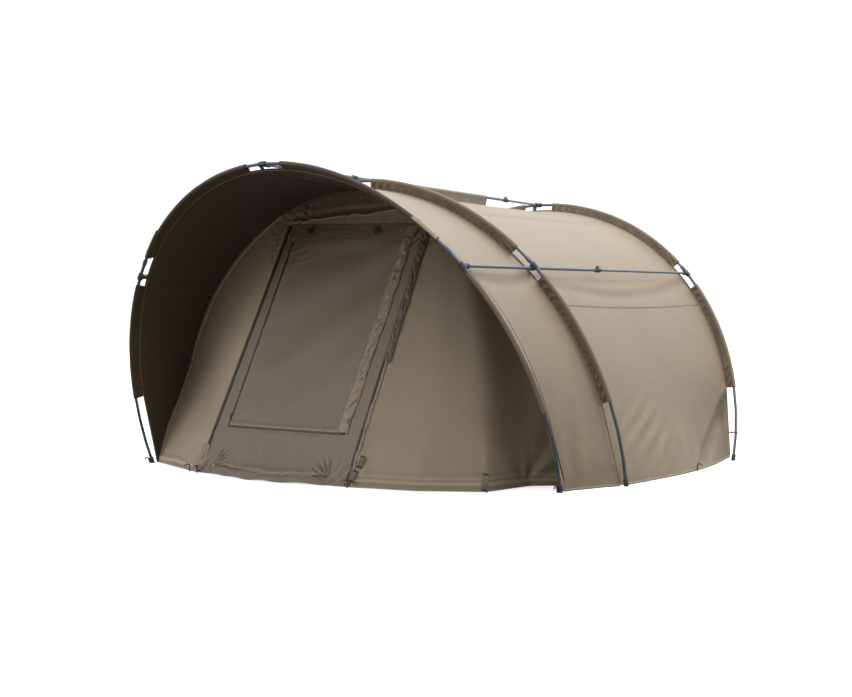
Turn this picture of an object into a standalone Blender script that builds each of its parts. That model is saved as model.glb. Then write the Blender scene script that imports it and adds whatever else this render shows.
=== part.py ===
"""Bivvy tent: three leaning hoops, a hood, a main canopy, a front wall with a door, and three tension bars.

The origin is under the middle of the tent, on the ground. The door faces -Y, +X is on the right
of someone who looks at the door from outside, and +Z is up. All sizes are in metres.
"""
import math
from collections import namedtuple

import bmesh
import bpy
from mathutils import Matrix, Vector

# Clearances and overruns
GAP = 0.0003
BORE_CLEARANCE = 0.0006
CUT_OVERRUN = 0.02
MERGE_DISTANCE = 0.00005

# Hoops: where the feet stand, and how high, wide and far over each hoop goes
HEIGHT = 1.543
HALF_WIDTH = 1.433
FEET_LENGTH = 1.809
MIDDLE_FEET_SHARE = 0.2078
HEIGHT_SHARES = (0.9618, 0.9605, 1.0)
HALF_WIDTH_SHARES = (0.8667, 0.9707, 1.0)
LEAN_SHARES = (0.3642, 0.1335, 0.2806)
WAIST_SHARES = (0.1011, -0.0188, 0.0596)
HOOP_EXPONENT = 1.975
HOOP_STEPS = 32
LEG_STEPS = 3
ANGLE_NUDGE = 0.001
SEARCH_STEP = 0.00001

# Heights on the hoops, as shares of the tent's height
LEG_TOP_SHARES = (0.2346, 0.2553, 0.2651)
GAP_SHARES = (0.6649, 0.6805, 0.6922)
FRONT_CONNECTOR_SHARE = 0.6481
REAR_CONNECTOR_SHARE = 0.6935
FRONT_COUPLING_RISE = 0.078
MIDDLE_COUPLING_RISE = 0.040
REAR_COUPLING_RISE = 0.040

# Poles
POLE_RADIUS = 0.008
COUPLING_RADIUS = 0.0108
COUPLING_LENGTH = 0.028
COUPLING_CHAMFER = 0.0012
FOOT_RADIUS = 0.0115
FOOT_LENGTH = 0.034
FOOT_FLOOR = 0.008

# Connectors
CLAMP_RADIUS = 0.0135
CLAMP_LENGTH = 0.034
STRAIGHT_LENGTH = 0.044
BOSS_RADIUS = 0.0125
BOSS_REACH = 0.048
SOCKET_START = 0.020
WEB_RADIUS = 0.009

# Tension bars
BAR_RADIUS = 0.008
BAR_SLIDER_RADIUS = 0.0066
BAR_BORE_RADIUS = 0.0070
BAR_OVERLAP = 0.060
BAR_TRAVEL = 0.100
SIDE_COUPLING_SHARE = 0.527
TOP_COUPLING_SHARE = 0.841
COLLAR_RADIUS = 0.0125
COLLAR_LENGTH = 0.042
COLLAR_MOUTH_LENGTH = 0.0105
COLLAR_GRIP_LENGTH = 0.018
COLLAR_GRIP_WIDTH = 0.008
COLLAR_GRIP_REACH = 0.022

# Fabric
CANOPY_THICKNESS = 0.003
WALL_THICKNESS = 0.003
SLEEVE_THICKNESS = 0.0012
SLEEVE_RADIUS = 0.0118
SLEEVE_SLIT = 0.004
SLEEVE_SIDES = 5
FIN_WIDTH = 0.044
FIN_HEM = 0.009
FRONT_FIN_TURNS = (60.0, 35.0)
LEVEL_FIN_TURNS = (0.0, 0.0)
FIN_TURN_POWER = 6
SEAM_GAP = 0.0006
SIDE_GAP_LENGTH = 0.190
TOP_GAP_LENGTH = 0.190
HEM_HEIGHT = 0.004
FRONT_CORNER_INSET = 0.006
FRONT_CORNER_BACK = 0.030
MIDDLE_CORNER_INSET = 0.030
REAR_CORNER_INSET = 0.080
REAR_CORNER_BACK = 0.186
HOOD_SAG = 0.006
CANOPY_SAG = 0.010
SIDE_BOW = 0.095
SIDE_BOW_HEIGHT = 0.60
REAR_FOOT_BULGE = 0.05
REAR_SIDE_SHARE = 0.37
CANOPY_STEPS = 6
HOOD_STEPS = 4
BAR_SLEEVE_STEPS = 4

# Front wall
WALL_REACH = 0.420
WALL_STAND = 0.0040
REAR_STAND = 0.0024
WALL_CORNER_STAND = 0.016
WALL_TOP_SHARES = (-0.380, 0.437)
LEFT_ARC_SHARE = 0.4251
DOOR_TOP_SHARE = 0.93
DOOR_BOW = 0.080
DOOR_BOW_HEIGHT = 0.32
ZIP_GAP = 0.0010
LEFT_HEM_SHARES = ((-0.613, 0.507), (-0.547, 0.581))
RIGHT_HEM_SHARES = ((0.256, 0.850), (0.539, 0.745), (0.770, 0.421), (0.820, -0.286))
LEFT_EDGE_SHARES = ((0.12, 0.43), (0.25, 0.835), (0.36, 1.0))
ZIP_TOP_SHARES = (-0.277, 0.342)
WINDOW_BOTTOM_SHARE = 0.185
WINDOW_TOP_SHARE = 0.94
WINDOW_LEFT_SHARES = (0.092, 0.066)
WINDOW_RIGHT_SHARES = (0.890, 0.918)
WALL_LOW_STEPS = 12
WALL_TOP_STEPS = 2
LEFT_HEM_STEPS = 3
RIGHT_HEM_STEPS = 2
DOOR_SIDE_STEPS = 2
DOOR_MIDDLE_STEPS = 9
DOOR_SKIRT_STEPS = 4
WINDOW_STEPS = 12

# Zip sliders and toggles
SLIDER_WIDTH = 0.009
SLIDER_LENGTH = 0.016
SLIDER_DEPTH = 0.006
PULL_LENGTH = 0.026
PULL_WIDTH = 0.005
PULL_DEPTH = 0.002
SLIDER_START_SHARE = 0.06
TOGGLE_RADIUS = 0.005
TOGGLE_LENGTH = 0.034
TOGGLE_DROP = 0.024
TOGGLE_CORD_RADIUS = 0.0022
TOGGLE_SHARES = (0.18, 0.67)
TOGGLE_HEIGHT_SHARE = 0.985

# Pegs
PEG_RADIUS = 0.0036
PEG_HEIGHT = 0.026
PEG_HOOK_RADIUS = 0.013
PEG_HOOK_STEPS = 5
PEG_HOOK_DEGREES = 162.0
PEG_SIDE = 0.010
PEG_TRAVEL = 0.15
PEG_CLEARANCE = 0.0003

ROUND_STEPS = 10

FIN_STAND = CANOPY_THICKNESS / 2 + GAP
FRONT_LEAN, MIDDLE_LEAN, REAR_LEAN = (HEIGHT * share for share in LEAN_SHARES)
FRONT_WAIST, MIDDLE_WAIST, REAR_WAIST = (HEIGHT * share for share in WAIST_SHARES)
FRONT_HEIGHT, MIDDLE_HEIGHT, REAR_HEIGHT = (HEIGHT * share for share in HEIGHT_SHARES)
FRONT_HALF_WIDTH, MIDDLE_HALF_WIDTH, REAR_HALF_WIDTH = (HALF_WIDTH * share for share in HALF_WIDTH_SHARES)
FRONT_LEG_TOP, MIDDLE_LEG_TOP, REAR_LEG_TOP = (HEIGHT * share for share in LEG_TOP_SHARES)
FRONT_GAP_HEIGHT, MIDDLE_GAP_HEIGHT, REAR_GAP_HEIGHT = (HEIGHT * share for share in GAP_SHARES)
FRONT_CONNECTOR_HEIGHT = HEIGHT * FRONT_CONNECTOR_SHARE
REAR_CONNECTOR_HEIGHT = HEIGHT * REAR_CONNECTOR_SHARE
FEET_Y = -(FEET_LENGTH + REAR_LEAN - FRONT_LEAN) / 2

Hoop = namedtuple("Hoop", "name feet_y lean height half_width waist leg_top gap_height "
                          "corner_inset corner_back fin_turns")

FRONT = Hoop("front", FEET_Y, -FRONT_LEAN, FRONT_HEIGHT, FRONT_HALF_WIDTH, FRONT_WAIST, FRONT_LEG_TOP,
             FRONT_GAP_HEIGHT, FRONT_CORNER_INSET, FRONT_CORNER_BACK, FRONT_FIN_TURNS)
MIDDLE = Hoop("middle", FEET_Y + FEET_LENGTH * MIDDLE_FEET_SHARE, -MIDDLE_LEAN, MIDDLE_HEIGHT,
              MIDDLE_HALF_WIDTH, MIDDLE_WAIST, MIDDLE_LEG_TOP, MIDDLE_GAP_HEIGHT, MIDDLE_CORNER_INSET, 0.0,
              LEVEL_FIN_TURNS)
REAR = Hoop("rear", FEET_Y + FEET_LENGTH, REAR_LEAN, REAR_HEIGHT, REAR_HALF_WIDTH, REAR_WAIST,
            REAR_LEG_TOP, REAR_GAP_HEIGHT, REAR_CORNER_INSET, REAR_CORNER_BACK, LEVEL_FIN_TURNS)
SIDES = (("right", 1), ("left", -1))
UP = Vector((0.0, 0.0, 1.0))


# Scene and materials

def clear_scene():
    for item in list(bpy.data.objects):
        bpy.data.objects.remove(item)


def new_collection(name):
    collection = bpy.data.collections.new(name)
    bpy.context.scene.collection.children.link(collection)
    return collection


def new_material(name, colour, roughness, metallic=0.0):
    material = bpy.data.materials.new(name)
    material.use_nodes = True
    shader = material.node_tree.nodes["Principled BSDF"]
    shader.inputs["Base Color"].default_value = (*colour, 1.0)
    shader.inputs["Roughness"].default_value = roughness
    shader.inputs["Metallic"].default_value = metallic
    return material


clear_scene()
PARTS = new_collection("bivvy_tent")
CUTTERS = new_collection("cutters")
CANOPY_CLOTH = new_material("canopy_cloth", (0.36, 0.31, 0.23), 0.85)
HOOD_CLOTH = new_material("hood_cloth", (0.33, 0.28, 0.20), 0.85)
WALL_CLOTH = new_material("wall_cloth", (0.20, 0.165, 0.12), 0.85)
DOOR_CLOTH = new_material("door_cloth", (0.17, 0.145, 0.105), 0.85)
SLEEVE_CLOTH = new_material("sleeve_cloth", (0.14, 0.10, 0.06), 0.85)
POLE_METAL = new_material("anodised_pole", (0.10, 0.12, 0.16), 0.35, 1.0)
BAR_METAL = new_material("anodised_bar", (0.12, 0.15, 0.20), 0.35, 1.0)
BLACK_PLASTIC = new_material("black_plastic", (0.02, 0.02, 0.024), 0.5)
PEG_METAL = new_material("dark_peg", (0.05, 0.06, 0.08), 0.4, 1.0)


# Building blocks

def add_object(name, data, material, collection=None):
    item = bpy.data.objects.new(name, data)
    (collection or PARTS).objects.link(item)
    if material:
        data.materials.append(material)
    return item


def aim(direction, at):
    """Matrix that turns +Z to a direction, with the local X axis kept level, and moves to a point."""
    up = Vector(direction).normalized()
    level = Vector((-up.y, up.x, 0.0))
    if level.length < ANGLE_NUDGE:
        level = Vector((1.0, 0.0, 0.0))
    level.normalize()
    turn = Matrix((level, up.cross(level), up)).transposed().to_4x4()
    return Matrix.Translation(at) @ turn


def rod_mesh(name, radius, length, matrix, steps=ROUND_STEPS):
    """A cylinder mesh along the matrix's Z axis, centred on its origin."""
    mesh = bpy.data.meshes.new(name)
    body = bmesh.new()
    bmesh.ops.create_cone(body, cap_ends=True, segments=steps, radius1=radius, radius2=radius,
                          depth=length, matrix=matrix)
    body.to_mesh(mesh)
    body.free()
    return mesh


def box_mesh(name, size, matrix):
    mesh = bpy.data.meshes.new(name)
    body = bmesh.new()
    bmesh.ops.create_cube(body, size=1.0, matrix=matrix @ Matrix.Diagonal((*size, 1.0)))
    bmesh.ops.recalc_face_normals(body, faces=body.faces)
    body.to_mesh(mesh)
    body.free()
    return mesh


def make_cutter(name, mesh):
    cutter = add_object(name, mesh, None, CUTTERS)
    cutter.hide_render = True
    cutter.display_type = "WIRE"
    return cutter


def combine(item, mesh, operation, matrix=None):
    """Joins or cuts a mesh with a Boolean modifier, in world axes or in the matrix's axes."""
    label = f"{item.name}_{operation.lower()}_{len(item.modifiers)}"
    modifier = item.modifiers.new(label, "BOOLEAN")
    modifier.operation = operation
    modifier.solver = "EXACT"
    modifier.object = make_cutter(label, mesh)
    if matrix:
        modifier.object.matrix_world = matrix


def tube(name, points, radius, material, factors=None):
    """A round tube along a list of points, with a radius factor at each one."""
    curve = bpy.data.curves.new(name, "CURVE")
    curve.dimensions = "3D"
    curve.bevel_depth = radius
    curve.bevel_resolution = 2
    curve.use_fill_caps = True
    spline = curve.splines.new("POLY")
    spline.points.add(len(points) - 1)
    for index, point in enumerate(points):
        spline.points[index].co = (*point, 1.0)
        spline.points[index].radius = factors[index] if factors else 1.0
    return add_object(name, curve, material)


def turned(name, profile, direction, at, material):
    """A profile of (radius, height) pairs, top to bottom on its outer side, turned about its axis."""
    mesh = bpy.data.meshes.new(name)
    points = [(radius, 0.0, height) for radius, height in profile]
    edges = [(index, index + 1) for index in range(len(points) - 1)]
    mesh.from_pydata(points, edges, [])
    item = add_object(name, mesh, material)
    item.matrix_world = aim(direction, at)
    screw = item.modifiers.new("turn", "SCREW")
    screw.steps = ROUND_STEPS
    screw.render_steps = ROUND_STEPS
    screw.use_merge_vertices = True
    screw.merge_threshold = MERGE_DISTANCE
    return item


def sheet_mesh(name, grids):
    """One mesh from grids of points that share their borders."""
    mesh = bpy.data.meshes.new(name)
    body = bmesh.new()
    for rows in grids:
        corners = [[body.verts.new(point) for point in row] for row in rows]
        for low, high in zip(corners, corners[1:]):
            for index in range(len(low) - 1):
                body.faces.new((low[index], low[index + 1], high[index + 1], high[index]))
    bmesh.ops.remove_doubles(body, verts=body.verts, dist=MERGE_DISTANCE)
    bmesh.ops.recalc_face_normals(body, faces=body.faces)
    body.to_mesh(mesh)
    body.free()
    return mesh


def sheet(name, grids, thickness, material):
    item = add_object(name, sheet_mesh(name, grids), material)
    solidify = item.modifiers.new("cloth", "SOLIDIFY")
    solidify.thickness = thickness
    solidify.offset = 0.0
    return item


def loft(name, rings, material):
    """A closed solid through rings of equal length, with flat ends."""
    mesh = bpy.data.meshes.new(name)
    body = bmesh.new()
    corners = [[body.verts.new(point) for point in ring] for ring in rings]
    count = len(rings[0])
    for low, high in zip(corners, corners[1:]):
        for index in range(count):
            after = (index + 1) % count
            body.faces.new((low[index], low[after], high[after], high[index]))
    body.faces.new(corners[0])
    body.faces.new(corners[-1])
    bmesh.ops.recalc_face_normals(body, faces=body.faces)
    body.to_mesh(mesh)
    body.free()
    return add_object(name, mesh, material)


def along(points, share):
    """The point at a share of the length of a line of points."""
    spans = [(after - before).length for before, after in zip(points, points[1:])]
    left = share * sum(spans)
    for before, after, span in zip(points, points[1:], spans):
        if left <= span:
            return before.lerp(after, left / span)
        left -= span
    return points[-1].copy()


def patch(bottom, top, left, right, column_shares, row_shares):
    """A grid of points that fills four edges, each a line of points."""
    rows = []
    for up in row_shares:
        start, end = along(left, up), along(right, up)
        row = []
        for over in column_shares:
            low, high = along(bottom, over), along(top, over)
            sides = start.lerp(end, over) + low.lerp(high, up)
            flat = bottom[0].lerp(bottom[-1], over).lerp(top[0].lerp(top[-1], over), up)
            row.append(sides - flat)
        rows.append(row)
    return rows


def even_shares(count, first=0.0, last=1.0):
    return [first + (last - first) * index / count for index in range(count + 1)]


def bend_shares(points, steps):
    """The shares of a line's length at its bends, and at even steps between them."""
    spans = [(after - before).length for before, after in zip(points, points[1:])]
    shares = [0.0]
    for span in spans:
        start = shares[-1]
        shares += [start + span / sum(spans) * step / steps for step in range(1, steps + 1)]
    return shares[:-1] + [1.0]


# Hoop geometry

def slant(hoop):
    return math.hypot(hoop.lean, hoop.height)


def hoop_point(hoop, angle):
    """A point on a hoop. The angle runs from the right foot, over the top, to the left foot."""
    power = 2 / HOOP_EXPONENT
    over = math.copysign(abs(math.cos(angle)) ** power, math.cos(angle))
    rise = math.copysign(abs(math.sin(angle)) ** power, math.sin(angle))
    up_share = (hoop.waist + (slant(hoop) - hoop.waist) * rise) / slant(hoop)
    return Vector((hoop.half_width * over, hoop.feet_y + hoop.lean * up_share, hoop.height * up_share))


def hoop_angle(hoop, height, side=1):
    """The angle at which one side of a hoop reaches a height."""
    rise = (height / hoop.height * slant(hoop) - hoop.waist) / (slant(hoop) - hoop.waist)
    angle = math.asin(math.copysign(abs(rise) ** (HOOP_EXPONENT / 2), rise))
    return angle if side > 0 else math.pi - angle


def hoop_axes(hoop, angle):
    """The directions along a hoop, along its sleeve's fin, and square to both.

    A fin with no turn lies in the hoop's plane and points inwards. A turned fin leans back from it.
    """
    forward = hoop_point(hoop, angle + ANGLE_NUDGE) - hoop_point(hoop, angle - ANGLE_NUDGE)
    forward.normalize()
    square = Vector((0.0, hoop.height, -hoop.lean)).normalized()
    inward = forward.cross(square)
    low_turn, top_turn = hoop.fin_turns
    share = abs(hoop_point(hoop, angle).z / hoop.height) ** FIN_TURN_POWER
    turn = math.radians(low_turn + (top_turn - low_turn) * share)
    fin = inward * math.cos(turn) + square * math.sin(turn)
    return forward, fin, square * math.cos(turn) - inward * math.sin(turn)


def inset_point(hoop, angle, inset):
    return hoop_point(hoop, angle) + hoop_axes(hoop, angle)[1] * inset


def arch_angles(hoop):
    start = hoop_angle(hoop, hoop.leg_top)
    return [start + (math.pi - 2 * start) * index / HOOP_STEPS for index in range(HOOP_STEPS + 1)]


def corner_point(hoop, side, inset=0.0):
    foot = hoop_point(hoop, hoop_angle(hoop, HEM_HEIGHT))
    return Vector((side * (foot.x - hoop.corner_inset - inset), foot.y + hoop.corner_back, HEM_HEIGHT))


def seam_line(hoop, inset=0.0):
    """The line that a canopy is sewn along, from the right corner to the left corner."""
    arch = [inset_point(hoop, angle, FIN_WIDTH + inset) for angle in arch_angles(hoop)]
    right = [corner_point(hoop, 1, inset).lerp(arch[0], step / LEG_STEPS) for step in range(LEG_STEPS)]
    left = [Vector((-point.x, point.y, point.z)) for point in reversed(right)]
    return right + arch + left


def seam_at_height(hoop, height, side):
    """The point where one side of a seam line reaches a height."""
    line = seam_line(hoop)
    half = line[:len(line) // 2 + 1]
    for low, high in zip(half, half[1:]):
        if low.z <= height <= high.z:
            point = low.lerp(high, (height - low.z) / (high.z - low.z))
            return Vector((side * point.x, point.y, point.z))
    return half[-1].copy()


# Poles and their feet

def pole_angles(hoop, start, end, straights):
    """The angles of a pole's points. Each straight is a stretch with no point inside it."""
    low, high = min(start, end), max(start, end)
    feet = [hoop_angle(hoop, hoop.leg_top * step / LEG_STEPS) for step in range(LEG_STEPS)]
    shared = feet + arch_angles(hoop) + [math.pi - angle for angle in feet]
    margin = (shared[LEG_STEPS + 1] - shared[LEG_STEPS]) / 4
    fixed = [low, high] + [edge for span in straights for edge in span if low < edge < high]
    kept = [angle for angle in shared if low < angle < high
            and all(abs(angle - edge) > margin for edge in fixed)
            and not any(first < angle < last for first, last in straights)]
    return sorted(kept + fixed, reverse=start > end)


def angle_span(hoop, angle, length):
    """The angles on both sides of an angle that are a length apart along the hoop."""
    speed = (hoop_point(hoop, angle + ANGLE_NUDGE) - hoop_point(hoop, angle - ANGLE_NUDGE)).length
    half = length / 2 * (2 * ANGLE_NUDGE) / speed
    return angle - half, angle + half


def lower_pole(hoop, side, connector_angle, coupling_angle, foot_angle):
    """A pole's lower section, with the coupling sleeve at its top end."""
    straight = angle_span(hoop, connector_angle, STRAIGHT_LENGTH)
    points = [hoop_point(hoop, angle)
              for angle in pole_angles(hoop, foot_angle, coupling_angle, [straight])]
    along_end = (points[-1] - points[-2]).normalized()
    step_high = points[-1] - along_end * COUPLING_LENGTH
    step_low = step_high - along_end * COUPLING_CHAMFER
    if (points[-1] - points[-2]).length < COUPLING_LENGTH + 2 * COUPLING_CHAMFER:
        points.pop(-2)
    points[-1:] = [step_low, step_high, points[-1]]
    wide = COUPLING_RADIUS / POLE_RADIUS
    factors = [1.0] * (len(points) - 2) + [wide, wide]
    tube(f"{hoop.name}_{side}_lower_pole", points, POLE_RADIUS, POLE_METAL, factors)
    foot_cap(hoop, side, points[0], (points[1] - points[0]).normalized())
    return along_end


def upper_pole(hoop, side, sign, coupling_angle, connector_straight, along_end):
    """A pole's upper section, from its coupling to the joint under the top connector."""
    points = [hoop_point(hoop, angle)
              for angle in pole_angles(hoop, coupling_angle, math.pi / 2, [connector_straight])]
    points[0] = points[0] + along_end * 2 * GAP
    points[-1] = points[-1] + Vector((sign * GAP / 2, 0.0, 0.0))
    tube(f"{hoop.name}_{side}_upper_pole", points, POLE_RADIUS, POLE_METAL)


def foot_cap(hoop, side, end, direction):
    """A cap over a pole's lower end, cut flat where it stands."""
    centre = end + direction * (FOOT_LENGTH / 2 - FOOT_FLOOR)
    mesh = bpy.data.meshes.new(f"{hoop.name}_{side}_foot")
    body = bmesh.new()
    bmesh.ops.create_cone(body, cap_ends=True, segments=ROUND_STEPS, radius1=FOOT_RADIUS,
                          radius2=FOOT_RADIUS, depth=FOOT_LENGTH + 2 * FOOT_FLOOR,
                          matrix=aim(direction, centre - direction * FOOT_FLOOR))
    cut = bmesh.ops.bisect_plane(body, geom=body.verts[:] + body.edges[:] + body.faces[:],
                                 plane_co=(0.0, 0.0, 0.0), plane_no=(0.0, 0.0, -1.0), clear_outer=True)
    rim = [edge for edge in cut["geom_cut"] if isinstance(edge, bmesh.types.BMEdge)]
    bmesh.ops.contextual_create(body, geom=rim)
    bmesh.ops.recalc_face_normals(body, faces=body.faces)
    body.to_mesh(mesh)
    body.free()
    cap = add_object(mesh.name, mesh, BLACK_PLASTIC)
    bore = rod_mesh("foot_bore", POLE_RADIUS + BORE_CLEARANCE, FOOT_LENGTH + CUT_OVERRUN,
                    aim(direction, end + direction * ((FOOT_LENGTH + CUT_OVERRUN) / 2 - GAP)))
    combine(cap, bore, "DIFFERENCE")


# Connectors and tension bars

def pole_straight(hoop, angle):
    """The middle and direction of the straight stretch that runs through a connector."""
    first, last = angle_span(hoop, angle, STRAIGHT_LENGTH)
    low, high = hoop_point(hoop, first), hoop_point(hoop, last)
    return (low + high) / 2, (high - low).normalized()


def end_connector(name, pole_centre, pole_direction, bar_direction, socket_radius):
    """A clamp round a pole with a socket for a bar's end."""
    block = add_object(name, rod_mesh(name, CLAMP_RADIUS, CLAMP_LENGTH, aim(pole_direction, pole_centre)),
                       BLACK_PLASTIC)
    boss = rod_mesh("boss", BOSS_RADIUS, BOSS_REACH,
                    aim(bar_direction, pole_centre + bar_direction * BOSS_REACH / 2))
    combine(block, boss, "UNION")
    bore = rod_mesh("bore", POLE_RADIUS + BORE_CLEARANCE, CLAMP_LENGTH + 2 * CUT_OVERRUN,
                    aim(pole_direction, pole_centre))
    combine(block, bore, "DIFFERENCE")
    depth = BOSS_REACH - SOCKET_START + CUT_OVERRUN
    socket = rod_mesh("socket", socket_radius + BORE_CLEARANCE, depth,
                      aim(bar_direction, pole_centre + bar_direction * (SOCKET_START + depth / 2)))
    combine(block, socket, "DIFFERENCE")


def middle_connector(name, pole_centre, pole_direction, bar_point, bar_direction):
    """A block with one bore for the pole and one for the bar that passes beside it."""
    block = add_object(name, rod_mesh(name, CLAMP_RADIUS, CLAMP_LENGTH, aim(pole_direction, pole_centre)),
                       BLACK_PLASTIC)
    combine(block, rod_mesh("ring", BOSS_RADIUS, CLAMP_LENGTH, aim(bar_direction, bar_point)), "UNION")
    between = bar_point - pole_centre
    web = rod_mesh("web", WEB_RADIUS, between.length, aim(between, (bar_point + pole_centre) / 2))
    combine(block, web, "UNION")
    for centre, direction, radius in ((pole_centre, pole_direction, POLE_RADIUS),
                                      (bar_point, bar_direction, BAR_RADIUS)):
        bore = rod_mesh("bore", radius + BORE_CLEARANCE, CLAMP_LENGTH + 2 * CUT_OVERRUN,
                        aim(direction, centre))
        combine(block, bore, "DIFFERENCE")


def tension_bar(place, start, end, coupling_share):
    """A bar of two tubes, one sliding in the other, with a locking collar between them."""
    direction = (end - start).normalized()
    length = (end - start).length
    joint = length * coupling_share
    front_end, rear_end = SOCKET_START + GAP, length - SOCKET_START - GAP
    inner_end = joint - BAR_OVERLAP
    bore_floor = inner_end - BAR_TRAVEL - GAP
    front_profile = [(0.0, bore_floor), (BAR_BORE_RADIUS, bore_floor), (BAR_BORE_RADIUS, joint),
                     (BAR_RADIUS, joint), (BAR_RADIUS, front_end), (0.0, front_end)]
    turned(f"{place}_bar_front", front_profile, direction, start, BAR_METAL)
    rear_profile = [(0.0, rear_end), (BAR_SLIDER_RADIUS, rear_end), (BAR_SLIDER_RADIUS, inner_end),
                    (0.0, inner_end)]
    turned(f"{place}_bar_rear", rear_profile, direction, start, BAR_METAL)
    step = joint + GAP
    mouth, lip = step + COLLAR_MOUTH_LENGTH, step + COLLAR_MOUTH_LENGTH - COLLAR_LENGTH
    bore = BAR_RADIUS + BORE_CLEARANCE
    neck = BAR_SLIDER_RADIUS + BORE_CLEARANCE
    profile = [(neck, mouth), (COLLAR_RADIUS, mouth), (COLLAR_RADIUS, lip), (bore, lip),
               (bore, step), (neck, step), (neck, mouth)]
    collar = turned(f"{place}_bar_collar", profile, direction, start, BLACK_PLASTIC)
    grip_start = bore + BORE_CLEARANCE
    centre = Vector((0.0, (COLLAR_GRIP_REACH + grip_start) / 2, (mouth + lip) / 2))
    grip = box_mesh("grip", (COLLAR_GRIP_WIDTH, COLLAR_GRIP_REACH - grip_start, COLLAR_GRIP_LENGTH),
                    Matrix.Translation(centre))
    combine(collar, grip, "UNION", collar.matrix_world)
    return direction


# Canopies, sleeves and walls

def canopy_rows(front_hoop, back_hoop, count, sag, bow):
    """Rows of points between two seam lines: pulled in between the hoops and bowed out near the ground."""
    first, last = seam_line(front_hoop), seam_line(back_hoop)
    rows = []
    for share in even_shares(count):
        row = []
        for index, (low, high) in enumerate(zip(first, last)):
            point = low.lerp(high, share)
            middle = Vector((0.0, point.y, point.z / 2))
            inward = (middle - point).normalized()
            point += inward * sag * math.sin(math.pi * share)
            near_ground = max(0.0, 1.0 - point.z / SIDE_BOW_HEIGHT) ** 2
            point.x += math.copysign(bow * math.sin(math.pi * share) * near_ground, point.x)
            if share in (0.0, 1.0):
                span = (high - low).normalized()
                point += span * (SEAM_GAP if share == 0.0 else -SEAM_GAP)
            row.append(point)
        rows.append(row)
    return rows


def strip_ring(centre, inward, square, fin_length):
    """A sleeve's section: a strip that leaves the seam, runs to the pole and wraps round it."""
    slit_angle = SLEEVE_SLIT / SLEEVE_RADIUS
    turns = [2 * math.pi * step / SLEEVE_SIDES for step in range(SLEEVE_SIDES)] + [2 * math.pi - slit_angle]
    line = [(fin_length, 0.0)]
    line += [(SLEEVE_RADIUS * math.cos(turn), SLEEVE_RADIUS * math.sin(turn)) for turn in turns]
    ahead, behind = [], []
    for index, here in enumerate(line):
        before, after = line[max(index - 1, 0)], line[min(index + 1, len(line) - 1)]
        into = Vector((here[0] - before[0], here[1] - before[1]))
        out = Vector((after[0] - here[0], after[1] - here[1]))
        into = into.normalized() if into.length else out.normalized()
        out = out.normalized() if out.length else into
        across = Vector((-(into.y + out.y), into.x + out.x)).normalized()
        spread = SLEEVE_THICKNESS / 2 / across.dot(Vector((-into.y, into.x)))
        ahead.append((here[0] + across.x * spread, here[1] + across.y * spread))
        behind.append((here[0] - across.x * spread, here[1] - across.y * spread))
    return [centre + inward * depth + square * side for depth, side in ahead + behind[::-1]]


def gap_cutter(sleeve, hoop, angle, length):
    """Opens a sleeve where a connector sits, and leaves its hem."""
    forward, inward, square = hoop_axes(hoop, angle)
    outside = SLEEVE_RADIUS + CUT_OVERRUN
    inside = FIN_WIDTH - FIN_HEM
    centre = hoop_point(hoop, angle) + inward * (inside - outside) / 2
    matrix = Matrix((inward, square, forward)).transposed().to_4x4()
    size = (inside + outside, 2 * outside, length)
    combine(sleeve, box_mesh("sleeve_gap", size, Matrix.Translation(centre) @ matrix), "DIFFERENCE")


def hoop_sleeve(hoop):
    rings = []
    for angle in arch_angles(hoop):
        _, inward, square = hoop_axes(hoop, angle)
        rings.append(strip_ring(hoop_point(hoop, angle), inward, square, FIN_WIDTH - FIN_STAND))
    sleeve = loft(f"{hoop.name}_sleeve", rings, SLEEVE_CLOTH)
    for side in (1, -1):
        gap_cutter(sleeve, hoop, hoop_angle(hoop, hoop.gap_height, side), SIDE_GAP_LENGTH)
    gap_cutter(sleeve, hoop, math.pi / 2, TOP_GAP_LENGTH)


def bar_sleeve(start, direction, rows):
    """The strip of cloth that ties the main canopy's ridge to the top bar."""
    ridge = [row[len(row) // 2] for row in rows]
    rings = []
    for below in ridge[1:BAR_SLEEVE_STEPS + 1]:
        centre = start + direction * (below - start).dot(direction)
        inward = (below - centre).normalized()
        fin_length = (below - centre).length - FIN_STAND
        rings.append(strip_ring(centre, inward, Vector((1.0, 0.0, 0.0)), fin_length))
    loft("top_bar_sleeve", rings, SLEEVE_CLOTH)


def wall_edge(angle):
    return inset_point(MIDDLE, angle, FIN_WIDTH + WALL_STAND)


def edge_arc(start, end, steps):
    return [wall_edge(start + (end - start) * index / steps) for index in range(steps + 1)]


def hem_point(share_x, share_reach):
    return Vector((FRONT_HALF_WIDTH * share_x, FEET_Y - WALL_REACH * share_reach, HEM_HEIGHT))


def arc_angle_at(share_x):
    """The angle of the wall's arched edge at a share of the middle hoop's half width."""
    return math.acos(math.copysign(abs(share_x) ** (HOOP_EXPONENT / 2), share_x))


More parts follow.
